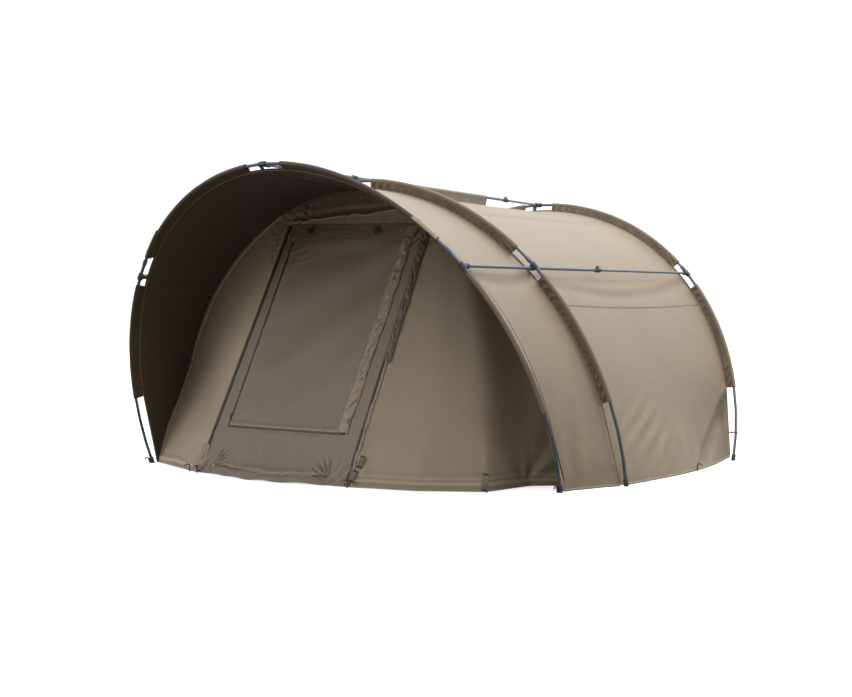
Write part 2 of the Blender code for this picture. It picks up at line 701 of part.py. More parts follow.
def wall_lines():
    """The lines that the front wall, its door and its zips follow."""
    left_hem = [corner_point(FRONT, -1, 2 * WALL_STAND)] + [hem_point(*pair) for pair in LEFT_HEM_SHARES]
    right_corner = corner_point(MIDDLE, 1, WALL_CORNER_STAND)
    right_hem = [hem_point(*pair) for pair in RIGHT_HEM_SHARES] + [right_corner]
    left_zip_angle, right_zip_angle = (arc_angle_at(share) for share in ZIP_TOP_SHARES)
    top_left, top_right = (arc_angle_at(share) for share in WALL_TOP_SHARES)
    left_edge = [left_hem[0]]
    for height_share, back_share in LEFT_EDGE_SHARES:
        height = MIDDLE_HEIGHT * height_share
        front, back = seam_at_height(FRONT, height, -1), seam_at_height(MIDDLE, height, -1)
        stand = WALL_STAND + HOOD_SAG * math.sin(math.pi * back_share)
        left_edge.append(front.lerp(back, back_share) + Vector((stand, 0.0, 0.0)))
    left_edge += edge_arc(hoop_angle(MIDDLE, MIDDLE_HEIGHT * LEFT_ARC_SHARE, -1), top_left, HOOP_STEPS // 2)
    right_edge = [right_corner] + edge_arc(hoop_angle(MIDDLE, MIDDLE_LEG_TOP), top_right, HOOP_STEPS // 2)
    return {
        "left_hem": left_hem,
        "right_hem": right_hem,
        "left_edge": left_edge,
        "right_edge": right_edge,
        "left_zip": [left_hem[-1], wall_edge(left_zip_angle)],
        "right_zip": [right_hem[0], wall_edge(right_zip_angle)],
        "left_top": edge_arc(top_left, left_zip_angle, 2),
        "right_top": edge_arc(right_zip_angle, top_right, 2),
        "header_top": edge_arc(left_zip_angle, right_zip_angle, DOOR_MIDDLE_STEPS),
    }


def front_wall(lines):
    door_top = [along(lines["left_zip"], DOOR_TOP_SHARE), along(lines["right_zip"], DOOR_TOP_SHARE)]
    low = even_shares(WALL_LOW_STEPS, 0.0, DOOR_TOP_SHARE)
    high = even_shares(WALL_TOP_STEPS, DOOR_TOP_SHARE, 1.0)
    left_columns = bend_shares(lines["left_hem"], LEFT_HEM_STEPS)
    right_columns = bend_shares(lines["right_hem"], RIGHT_HEM_STEPS)
    every_row = low + high[1:]
    left = patch(lines["left_hem"], lines["left_top"], lines["left_edge"], lines["left_zip"],
                 left_columns, every_row)
    right = patch(lines["right_hem"], lines["right_top"], lines["right_zip"], lines["right_edge"],
                  right_columns, every_row)
    left_side = [door_top[0], lines["left_zip"][1]]
    right_side = [door_top[1], lines["right_zip"][1]]
    header = patch(door_top, lines["header_top"], left_side, right_side,
                   even_shares(DOOR_MIDDLE_STEPS), even_shares(WALL_TOP_STEPS))
    sheet("front_wall", [left, right, header], WALL_THICKNESS, WALL_CLOTH)
    return door_top


def door_point(lines, over, up):
    """A point of the closed door, by its share of the width and of the height."""
    start = along(lines["left_zip"], up * DOOR_TOP_SHARE)
    end = along(lines["right_zip"], up * DOOR_TOP_SHARE)
    point = start.lerp(end, over)
    near_ground = max(0.0, 1.0 - point.z / DOOR_BOW_HEIGHT) ** 2
    point.y -= DOOR_BOW * math.sin(math.pi * over) ** 2 * near_ground
    return point


def window_side(up, shares):
    """The window's side line, as a share of the door's width at a share of the door's height."""
    rise = (up - WINDOW_BOTTOM_SHARE) / (WINDOW_TOP_SHARE - WINDOW_BOTTOM_SHARE)
    return shares[0] + (shares[1] - shares[0]) * rise


def door_grid(lines, columns, ups, inset_left=0.0, inset_right=0.0):
    """A grid of the door between two column lines, each a function of the height share."""
    rows = []
    for up in ups:
        first, last = columns[0](up) + inset_left, columns[1](up) - inset_right
        rows.append([door_point(lines, first + (last - first) * share, up) for share in columns[2]])
    return rows


def door_and_window(lines):
    width = (lines["right_zip"][0] - lines["left_zip"][0]).length
    height = (lines["left_zip"][1] - lines["left_zip"][0]).length * DOOR_TOP_SHARE
    side, rise = ZIP_GAP / width, ZIP_GAP / height
    skirt = even_shares(DOOR_SKIRT_STEPS, 0.0, WINDOW_BOTTOM_SHARE)
    middle = even_shares(WINDOW_STEPS, WINDOW_BOTTOM_SHARE, WINDOW_TOP_SHARE)
    above = [WINDOW_TOP_SHARE, 1.0 - rise]
    narrow = even_shares(DOOR_SIDE_STEPS)
    broad = even_shares(DOOR_MIDDLE_STEPS)

    def left_edge(up):
        return side

    def right_edge(up):
        return 1.0 - side

    def window_left(up):
        return window_side(up, WINDOW_LEFT_SHARES)

    def window_right(up):
        return window_side(up, WINDOW_RIGHT_SHARES)

    every_row = skirt + middle[1:] + above[1:]
    grids = [door_grid(lines, (left_edge, window_left, narrow), every_row),
             door_grid(lines, (window_right, right_edge, narrow), every_row),
             door_grid(lines, (window_left, window_right, broad), skirt),
             door_grid(lines, (window_left, window_right, broad), above)]
    sheet("door_panel", grids, WALL_THICKNESS, DOOR_CLOTH)
    middle[0] += rise
    middle[-1] -= rise
    flap = door_grid(lines, (window_left, window_right, broad), middle, side, side)
    sheet("window_flap", [flap], WALL_THICKNESS, DOOR_CLOTH)


def rear_panel():
    """The closed rear wall, inside the rear seam."""
    edge = seam_line(REAR, REAR_STAND)
    side_steps = round((len(edge) - 1) * REAR_SIDE_SHARE)
    right, left = edge[:side_steps + 1], edge[:len(edge) - side_steps - 2:-1]
    top = edge[side_steps:len(edge) - side_steps]
    bottom = []
    for share in even_shares(len(top) - 1):
        point = right[0].lerp(left[0], share)
        point.y += REAR_FOOT_BULGE * math.sin(math.pi * share)
        bottom.append(point)
    rows = patch(bottom, top, right, left, even_shares(len(top) - 1), even_shares(side_steps))
    sheet("rear_panel", [rows], CANOPY_THICKNESS, CANOPY_CLOTH)


# Zip sliders, toggles and pegs

def wall_frame(lines, over, up):
    """Axes at a point of the door: across to the right, up the door, and out of its face."""
    step = ANGLE_NUDGE
    across = (door_point(lines, over + step, up) - door_point(lines, over - step, up)).normalized()
    rise = (door_point(lines, over, up + step) - door_point(lines, over, up - step)).normalized()
    out = across.cross(rise).normalized()
    return across, rise, out


def zip_slider(name, line, start_share, across, out, stand):
    """A slider with a hanging pull, lying on the cloth beside its zip."""
    rise = (line[1] - line[0]).normalized()
    across = (across - rise * across.dot(rise)).normalized()
    face = rise.cross(across)
    face = face if face.dot(out) > 0 else -face
    at = along(line, start_share) + across * stand
    base = at + face * (WALL_THICKNESS / 2 + GAP * 2 + SLIDER_DEPTH / 2)
    turn = Matrix((across, rise, face)).transposed().to_4x4()
    item = add_object(name, box_mesh(name, (SLIDER_WIDTH, SLIDER_LENGTH, SLIDER_DEPTH),
                                     Matrix.Translation(base) @ turn), BLACK_PLASTIC)
    pull_at = base + face * (SLIDER_DEPTH - PULL_DEPTH) / 2 - rise * (PULL_LENGTH / 2)
    pull = box_mesh("pull", (PULL_WIDTH, PULL_LENGTH, PULL_DEPTH), Matrix.Translation(pull_at) @ turn)
    combine(item, pull, "UNION")


def zip_sliders(lines):
    outwards = SLIDER_WIDTH / 2 + 2 * GAP
    across, _, out = wall_frame(lines, 0.0, SLIDER_START_SHARE)
    zip_slider("door_left_slider", lines["left_zip"], SLIDER_START_SHARE, -across, out, outwards)
    across, _, out = wall_frame(lines, 1.0, SLIDER_START_SHARE)
    zip_slider("door_right_slider", lines["right_zip"], SLIDER_START_SHARE, across, out, outwards)
    for name, shares, sign in (("window_left_slider", WINDOW_LEFT_SHARES, -1),
                               ("window_right_slider", WINDOW_RIGHT_SHARES, 1)):
        line = [door_point(lines, shares[0], WINDOW_BOTTOM_SHARE),
                door_point(lines, shares[1], WINDOW_TOP_SHARE)]
        across, _, out = wall_frame(lines, shares[0], WINDOW_BOTTOM_SHARE + SLIDER_START_SHARE)
        zip_slider(name, line, SLIDER_START_SHARE, across * sign, out, outwards)


def toggle(name, lines, over):
    """A barrel that hangs on a short cord and holds the rolled-up flap."""
    across, rise, out = wall_frame(lines, over, TOGGLE_HEIGHT_SHARE)
    top = door_point(lines, over, TOGGLE_HEIGHT_SHARE)
    stand = WALL_THICKNESS / 2 + GAP + TOGGLE_RADIUS
    centre = top + out * stand - rise * TOGGLE_DROP
    barrel = add_object(name, rod_mesh(name, TOGGLE_RADIUS, TOGGLE_LENGTH, aim(across, centre)),
                        BLACK_PLASTIC)
    cord = rod_mesh("cord", TOGGLE_CORD_RADIUS, TOGGLE_DROP,
                    aim(rise, centre + rise * TOGGLE_DROP / 2))
    combine(barrel, cord, "UNION")


def peg(name, beside, outward, half_thickness, hook, shaft=UP):
    """The part of a peg above the ground, beside what it holds: a shaft with a hooked head."""
    clear = half_thickness + PEG_CLEARANCE + PEG_RADIUS
    base = Vector((beside.x, beside.y, 0.0)) + outward.normalized() * clear
    base += shaft * PEG_RADIUS * math.hypot(shaft.x, shaft.y)
    side = (hook - shaft * hook.dot(shaft)).normalized()
    points = [base, base + shaft * PEG_HEIGHT]
    for step in range(1, PEG_HOOK_STEPS + 1):
        turn = math.radians(PEG_HOOK_DEGREES) * step / PEG_HOOK_STEPS
        over = PEG_HOOK_RADIUS * (1 - math.cos(turn))
        rise = PEG_HEIGHT + PEG_HOOK_RADIUS * math.sin(turn)
        points.append(base + side * over + shaft * rise)
    tube(name, points, PEG_RADIUS, PEG_METAL)


def level_outward(before, after):
    """The level direction out of the tent, square to a stretch of hem that runs left to right."""
    run = (after - before).normalized()
    return Vector((run.y, -run.x, 0.0)).normalized()


def pegs(lines, main_rows):
    left, right = lines["left_hem"], lines["right_hem"]
    half_wall, half_canopy = WALL_THICKNESS / 2, CANOPY_THICKNESS / 2
    forward = Vector((0.0, -1.0, 0.0))
    peg("wall_left_peg", left[1], level_outward(left[0], left[2]), half_wall, Vector((-1.0, -1.0, 0.0)))
    beside = left[2] + (left[1] - left[2]).normalized() * PEG_SIDE
    peg("door_left_peg", beside, level_outward(left[1], left[2]), half_wall, forward)
    beside = right[0] + (right[1] - right[0]).normalized() * PEG_SIDE
    peg("door_right_peg", beside, level_outward(right[0], right[1]), half_wall, forward)
    peg("wall_right_peg", right[2], level_outward(right[1], right[3]), half_wall, Vector((1.0, -1.0, 0.0)))
    middle_row = main_rows[CANOPY_STEPS // 2]
    flat_radius = FOOT_RADIUS * slant(FRONT) / FRONT.height
    for side, sign in SIDES:
        foot = hoop_point(FRONT, hoop_angle(FRONT, 0.0, sign))
        shaft = (hoop_point(FRONT, hoop_angle(FRONT, PEG_TRAVEL, sign)) - foot).normalized()
        peg(f"corner_{side}_peg", foot, Vector((-0.5, -1.0, 0.0)), flat_radius, forward, shaft)
        hem = middle_row[0] if sign > 0 else middle_row[-1]
        outward = Vector((sign, 0.0, 0.0))
        peg(f"side_{side}_peg", hem, outward, half_canopy, outward)


# The whole tent

def build_hoop(hoop, connector_height, coupling_rise):
    top_straight = angle_span(hoop, math.pi / 2, STRAIGHT_LENGTH)
    for side, sign in SIDES:
        foot_angle = hoop_angle(hoop, FOOT_FLOOR, sign)
        connector_angle = hoop_angle(hoop, connector_height, sign)
        coupling_angle = hoop_angle(hoop, connector_height + coupling_rise, sign)
        along_end = lower_pole(hoop, side, connector_angle, coupling_angle, foot_angle)
        upper_pole(hoop, side, sign, coupling_angle, top_straight, along_end)
    hoop_sleeve(hoop)


def nearest_angle(hoop, point):
    """The angle of a hoop's point that is nearest to a point, by a narrowing search."""
    low, high = hoop_angle(hoop, hoop.leg_top), math.pi - hoop_angle(hoop, hoop.leg_top)
    while high - low > SEARCH_STEP:
        first, second = low + (high - low) / 3, high - (high - low) / 3
        if (hoop_point(hoop, first) - point).length < (hoop_point(hoop, second) - point).length:
            high = second
        else:
            low = first
    return (low + high) / 2


def crossing(start, end, hoop):
    """Where the line between two points meets a hoop's plane."""
    square = hoop_axes(hoop, math.pi / 2)[2]
    base = hoop_point(hoop, math.pi / 2)
    share = (base - start).dot(square) / (end - start).dot(square)
    return start.lerp(end, share)


def build_bars():
    """The three bars with their connectors, and how high each bar meets the middle hoop."""
    places = [(side, hoop_angle(FRONT, FRONT_CONNECTOR_HEIGHT, sign),
               hoop_angle(REAR, REAR_CONNECTOR_HEIGHT, sign), SIDE_COUPLING_SHARE) for side, sign in SIDES]
    places.append(("top", math.pi / 2, math.pi / 2, TOP_COUPLING_SHARE))
    found = {}
    for place, front_angle, rear_angle, coupling_share in places:
        front_centre, front_run = pole_straight(FRONT, front_angle)
        rear_centre, rear_run = pole_straight(REAR, rear_angle)
        direction = tension_bar(place, front_centre, rear_centre, coupling_share)
        end_connector(f"front_{place}_connector", front_centre, front_run, direction, BAR_RADIUS)
        end_connector(f"rear_{place}_connector", rear_centre, rear_run, -direction, BAR_SLIDER_RADIUS)
        beside = crossing(front_centre, rear_centre, MIDDLE)
        pole_angle = math.pi / 2 if place == "top" else nearest_angle(MIDDLE, beside)
        centre, run = pole_straight(MIDDLE, pole_angle)
        middle_connector(f"middle_{place}_connector", centre, run, beside, direction)
        found[place] = (front_centre, direction, hoop_point(MIDDLE, pole_angle).z)
    return found


def main():
    bars = build_bars()
    build_hoop(FRONT, FRONT_CONNECTOR_HEIGHT, FRONT_COUPLING_RISE)
    build_hoop(MIDDLE, bars["right"][2], MIDDLE_COUPLING_RISE)
    build_hoop(REAR, REAR_CONNECTOR_HEIGHT, REAR_COUPLING_RISE)
    hood_rows = canopy_rows(FRONT, MIDDLE, HOOD_STEPS, HOOD_SAG, 0.0)
    main_rows = canopy_rows(MIDDLE, REAR, CANOPY_STEPS, CANOPY_SAG, SIDE_BOW)
    sheet("hood_canopy", [hood_rows], CANOPY_THICKNESS, HOOD_CLOTH)
    sheet("main_canopy", [main_rows], CANOPY_THICKNESS, CANOPY_CLOTH)
    bar_sleeve(bars["top"][0], bars["top"][1], main_rows)
    rear_panel()
    lines = wall_lines()
    front_wall(lines)
    door_and_window(lines)
    zip_sliders(lines)
    toggle("left_toggle", lines, TOGGLE_SHARES[0])
    toggle("right_toggle", lines, TOGGLE_SHARES[1])
    pegs(lines, main_rows)


main()
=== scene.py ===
"""Looks of the bivvy tent: cloth, sleeves, zips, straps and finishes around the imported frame.

Metres, in the frame of the CAD: the door faces -Y, +X is right for someone who looks at it, +Z is up.
"""
import math
from collections import namedtuple

import bpy
import numpy as np
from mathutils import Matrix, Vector


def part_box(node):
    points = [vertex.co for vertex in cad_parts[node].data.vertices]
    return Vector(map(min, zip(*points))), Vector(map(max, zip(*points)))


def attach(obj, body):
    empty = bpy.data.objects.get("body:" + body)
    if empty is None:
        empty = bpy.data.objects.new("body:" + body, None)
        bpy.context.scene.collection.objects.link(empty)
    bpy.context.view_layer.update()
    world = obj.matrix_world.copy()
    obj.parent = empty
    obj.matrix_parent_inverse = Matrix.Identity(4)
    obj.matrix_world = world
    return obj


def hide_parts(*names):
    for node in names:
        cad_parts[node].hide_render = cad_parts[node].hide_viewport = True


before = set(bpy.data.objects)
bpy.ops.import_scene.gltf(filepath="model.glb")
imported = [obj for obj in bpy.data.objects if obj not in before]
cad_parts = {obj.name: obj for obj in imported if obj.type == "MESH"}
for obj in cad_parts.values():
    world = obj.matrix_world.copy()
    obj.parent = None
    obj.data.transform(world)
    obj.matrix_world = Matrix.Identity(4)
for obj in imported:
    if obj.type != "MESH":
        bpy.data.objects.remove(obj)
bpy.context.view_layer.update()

# Camera, from the photograph
CAMERA_PLACE = (3.65705, -5.87253, 0.70043)
CAMERA_YAW = 31.8465
CAMERA_PITCH = -0.605
CAMERA_LENS = 52.82
SENSOR_WIDTH = 36.0

# Hoops, as in the CAD
POWER = 2 / 1.975
NUDGE = 0.001
HEIGHT = 1.543
HALF_WIDTH = 1.433
FEET_Y = -0.84002
FIN_WIDTH = 0.044
GAP_LENGTH = 0.190
Hoop = namedtuple("Hoop", "name feet_y lean height half_width waist leg_top gap_height inset back turns")
FRONT = Hoop("front", FEET_Y, -0.3642 * HEIGHT, 0.9618 * HEIGHT, 0.8667 * HALF_WIDTH, 0.1011 * HEIGHT,
             0.2346 * HEIGHT, 0.6649 * HEIGHT, 0.006, 0.030, (60.0, 35.0))
MIDDLE = Hoop("middle", FEET_Y + 1.809 * 0.2078, -0.1335 * HEIGHT, 0.9605 * HEIGHT, 0.9707 * HALF_WIDTH,
              -0.0188 * HEIGHT, 0.2553 * HEIGHT, 0.6805 * HEIGHT, 0.030, 0.0, (0.0, 0.0))
REAR = Hoop("rear", FEET_Y + 1.809, 0.2806 * HEIGHT, HEIGHT, HALF_WIDTH, 0.0596 * HEIGHT,
            0.2651 * HEIGHT, 0.6922 * HEIGHT, 0.080, 0.186, (0.0, 0.0))
HEM = 0.004
ARCH_STEPS = 200
LEG_STEPS = 18

# Cloth, seams and zips
CLOTH_THICKNESS = 0.0016
TAPE_THICKNESS = 0.0010
SLEEVE_THICKNESS = 0.0009
SLEEVE_RADIUS = 0.0112
FIN_START = 0.0305
FIN_OVERLAP = 0.0048
SEAM_TAPE_WIDTH = 0.014
STITCH_PITCH = 0.0075
SLEEVE_STITCH_PITCH = 0.0085
TOOTH_PITCH = 0.0060
TOOTH_SIZE = (0.0042, 0.0034, 0.0024)
TOOTH_LIFT = 0.0040
TUBE_SIDES = 8
NOISE_CELLS = 61
SMOOTH_ANGLE = 40

# Main canopy's side seams and the top bar
SIDE_SEAM_HEIGHT = 0.850
SIDE_SEAM_RISE = 0.035
SIDE_SEAM_SAG = 0.075
BAR_START = (0.0, -1.4019, 1.4838)
BAR_END = (0.0, 1.4019, 1.5428)
GAP_SHIFT = (0.018, 0.020)

# Door
DOOR_BELLY = 0.080
BELLY_HEIGHT = 0.32
DOOR_END = 0.9985
WINDOW_ZIP_END = 0.928
CREST_LEFT = 1.010
CREST_RISE = 0.048

# Light
GROUND_LIGHT = 0.10
HORIZON_LIGHT = 0.27
MIDDLE_LIGHT = 0.84
SKY_STRENGTH = 1.55
KEY_POWER = 172.0
FILL_POWER = 70.0
SIDE_POWER = 70.0
WING_POWER = 4.0

# Finishes, linear colours
KHAKI = (0.300, 0.228, 0.142)
# Inside faces: far darker than the outside, partly the coating's own colour and partly painted shade of the
# tent's inside.
INSIDE_COATING_AND_SHADE = (0.060, 0.043, 0.022)
# The front wall is the canopy's cloth; this darker copy is painted shade from the hood over it.
SHADED_WALL_KHAKI = (0.258, 0.196, 0.122)
# The left wing is the same cloth as the wall; this lighter copy is painted light.
LIT_WING_KHAKI = (0.385, 0.305, 0.205)
# The door is the same cloth too; this much darker copy is painted shade under the hood.
SHADED_DOOR_KHAKI = (0.170, 0.131, 0.084)
BROWN = (0.225, 0.170, 0.108)
# The front sleeve is the same brown cloth as the others; this darker copy is painted shade.
SHADED_FRONT_BROWN = (0.074, 0.044, 0.017)


# Arrays of points

def unit(vectors):
    vectors = np.asarray(vectors, float)
    return vectors / np.maximum(np.linalg.norm(vectors, axis=-1, keepdims=True), 1e-12)


def slant(hoop):
    return math.hypot(hoop.lean, hoop.height)


def hoop_at(hoop, angle):
    """Points on a hoop at angles from the right foot, over the top, to the left foot."""
    angle = np.asarray(angle, float)
    cos, sin = np.cos(angle), np.sin(angle)
    over = np.sign(cos) * np.abs(cos) ** POWER
    rise = np.sign(sin) * np.abs(sin) ** POWER
    up = (hoop.waist + (slant(hoop) - hoop.waist) * rise) / slant(hoop)
    return np.stack([hoop.half_width * over, hoop.feet_y + hoop.lean * up, hoop.height * up], -1)


def angle_at(hoop, height, side=1):
    rise = (height / hoop.height * slant(hoop) - hoop.waist) / (slant(hoop) - hoop.waist)
    angle = math.asin(math.copysign(abs(rise) ** (1 / POWER), rise))
    return angle if side > 0 else math.pi - angle


def axes_at(hoop, angle):
    """Unit directions along a hoop, along its sleeve's fin towards the seam, and square to both."""
    angle = np.asarray(angle, float)
    forward = unit(hoop_at(hoop, angle + NUDGE) - hoop_at(hoop, angle - NUDGE))
    square = unit([0.0, hoop.height, -hoop.lean])
    inward = np.cross(forward, square)
    low, top = hoop.turns
    share = np.abs(hoop_at(hoop, angle)[..., 2] / hoop.height) ** 6
    turn = np.radians(low + (top - low) * share)[..., None]
    fin = inward * np.cos(turn) + square * np.sin(turn)
    return forward, fin, square * np.cos(turn) - inward * np.sin(turn)


def angle_span(hoop, angle, length):
    speed = np.linalg.norm(hoop_at(hoop, angle + NUDGE) - hoop_at(hoop, angle - NUDGE)) / (2 * NUDGE)
    return angle - length / 2 / speed, angle + length / 2 / speed


def corner_at(hoop, side, inset=0.0):
    foot = hoop_at(hoop, angle_at(hoop, HEM))
    return np.array([side * (foot[0] - hoop.inset - inset), foot[1] + hoop.back, HEM])


def seam(hoop, inset=0.0):
    """The line that a canopy is sewn along, from the right corner to the left corner."""
    start = angle_at(hoop, hoop.leg_top)
    angles = np.linspace(start, math.pi - start, ARCH_STEPS + 1)
    line = hoop_at(hoop, angles) + axes_at(hoop, angles)[1] * (FIN_WIDTH + inset)
    share = np.linspace(0.0, 1.0, LEG_STEPS, endpoint=False)[:, None]
    right = corner_at(hoop, 1, inset) * (1 - share) + line[0] * share
    return np.concatenate([right, line, (right * [-1, 1, 1])[::-1]])


def lengths(points):
    """Distance along lines of points, from the first one. Lines run along the last axis but one."""
    steps = np.linalg.norm(np.diff(points, axis=-2), axis=-1)
    start = np.zeros(steps.shape[:-1] + (1,))
    return np.concatenate([start, np.cumsum(steps, axis=-1)], -1)


def runs(grid):
    """Distances across a grid from its first column, and up it from its first row."""
    return lengths(grid), lengths(grid.swapaxes(0, 1)).T


def points_at(places, run, points):
    """Points at places on a line, given how far along it each of its own points is."""
    return np.stack([np.interp(places, run, points[:, k]) for k in range(3)], -1)


def line_at(points, shares):
    """Points at shares of a line's length."""
    points = np.asarray(points, float)
    run = lengths(points)
    return points_at(np.asarray(shares) * run[-1], run, points)


def rounded(points, count, reach):
    """A line resampled to even steps, with its bends rounded over a length."""
    line = line_at(points, np.linspace(0.0, 1.0, count))
    half = max(1, int(reach / (lengths(line)[-1] / (count - 1))))
    held = np.concatenate([2 * line[:1] - line[half:0:-1], line, 2 * line[-1:] - line[-2:-half - 2:-1]])
    kernel = np.ones(2 * half + 1) / (2 * half + 1)
    return np.stack([np.convolve(held[:, k], kernel, "valid") for k in range(3)], -1)


def coons(bottom, top, left, right):
    """A grid of points that fills four edges, rows going up and columns going across."""
    over = (lengths(bottom) / lengths(bottom)[-1])[None, :, None]
    up = (lengths(left) / lengths(left)[-1])[:, None, None]
    sides = left[:, None] * (1 - over) + right[:, None] * over
    ends = bottom[None] * (1 - up) + top[None] * up
    low = bottom[0] * (1 - over) + bottom[-1] * over
    high = top[0] * (1 - over) + top[-1] * over
    return sides + ends - (low * (1 - up) + high * up)


def normals(grid, facing):
    """Unit normals of a grid, on the side of a direction, or away from the tent's inside."""
    found = unit(np.cross(np.gradient(grid, axis=1), np.gradient(grid, axis=0)))
    if facing is None:
        facing = unit(grid - np.stack([grid[..., 0] * 0, grid[..., 1], grid[..., 2] * 0.3], -1))
    sign = np.sign((found * facing).sum(-1).mean())
    return found * sign


def raised(grid, facing, height):
    return grid + normals(grid, facing) * height[..., None]


def band(path, across, offsets, out, lifts):
    """A grid along a path, with a column at each offset across it, lifted out by its own height."""
    return path[:, None] + across[:, None] * offsets[None, :, None] + out[:, None] * lifts[None, :, None]


def noise(x, y, seed):
    """Smooth noise from -1 to 1 with one feature to a unit."""
    table = np.random.default_rng(seed).uniform(-1, 1, (NOISE_CELLS, NOISE_CELLS))
    x, y = np.broadcast_arrays(np.asarray(x, float), np.asarray(y, float))
    left, low = np.floor(x).astype(int), np.floor(y).astype(int)
    over, up = x - left, y - low
    over, up = over * over * (3 - 2 * over), up * up * (3 - 2 * up)

    def at(right, high):
        return table[(left + right) % NOISE_CELLS, (low + high) % NOISE_CELLS]
    lower = at(0, 0) * (1 - over) + at(1, 0) * over
    upper = at(0, 1) * (1 - over) + at(1, 1) * over
    return lower * (1 - up) + upper * up


def folds(x, y, seed):
    """Noise with sharp crests, as in crumpled cloth, from -1 to 1."""
    rough = noise(x, y, seed) * 0.65 + noise(x * 2.1, y * 2.1, seed + 1) * 0.35
    return 1 - 2 * np.abs(rough) ** 0.7 * 1.15


def puckers(distance, run, seed, spacing=0.03, reach=0.035, lean=0.6):
    """Short gathers that leave a seam: ridges at a spacing along it, fading with distance."""
    wander = noise(run / (spacing * 5), distance * 0, seed)
    strength = 0.35 + 0.65 * np.abs(noise(run / (spacing * 4), distance * 0, seed + 1))
    ridges = np.sin(2 * math.pi * (run + lean * distance) / spacing + 4 * wander)
    return ridges * strength * np.exp(-distance / reach)


def fade(distance, width):
    share = np.clip(distance / width, 0, 1)
    return share * share * (3 - 2 * share)


def bump(x, width):
    return np.exp(-(x / width) ** 2)


def blurred(values, reach, axis):
    """A running mean over a number of cells to each side."""
    values = np.moveaxis(values, axis, 0)
    held = np.concatenate([values[:1]] * reach + [values] + [values[-1:]] * reach)
    total = np.concatenate([held[:1] * 0, np.cumsum(held, axis=0)])
    return np.moveaxis((total[2 * reach + 1:] - total[:-2 * reach - 1]) / (2 * reach + 1), 0, axis)


def hollows(height, reach=3, depth=0.003):
    """How far cloth lies above or below what is round it, from -1 in a crease to 1 on a crest; the cloth
    materials turn it into painted shade in creases and painted highlight on crests.
    """
    even = blurred(blurred(height, min(reach, height.shape[0] - 1), 0), min(reach, height.shape[1] - 1), 1)
    return np.clip((height - even) / depth, -1, 1)


def ridge(grid, start, end, width):
    """A crest along a straight line between two points, dying out at its ends."""
    start, end = np.asarray(start, float), np.asarray(end, float)
    share = ((grid - start) @ (end - start)) / ((end - start) ** 2).sum()
    near = start + (end - start) * share[..., None]
    off = np.linalg.norm(grid - near, axis=-1)
    return bump(off, width) * fade(share + 0.05, 0.2) * fade(1.05 - share, 0.2)


# Meshes

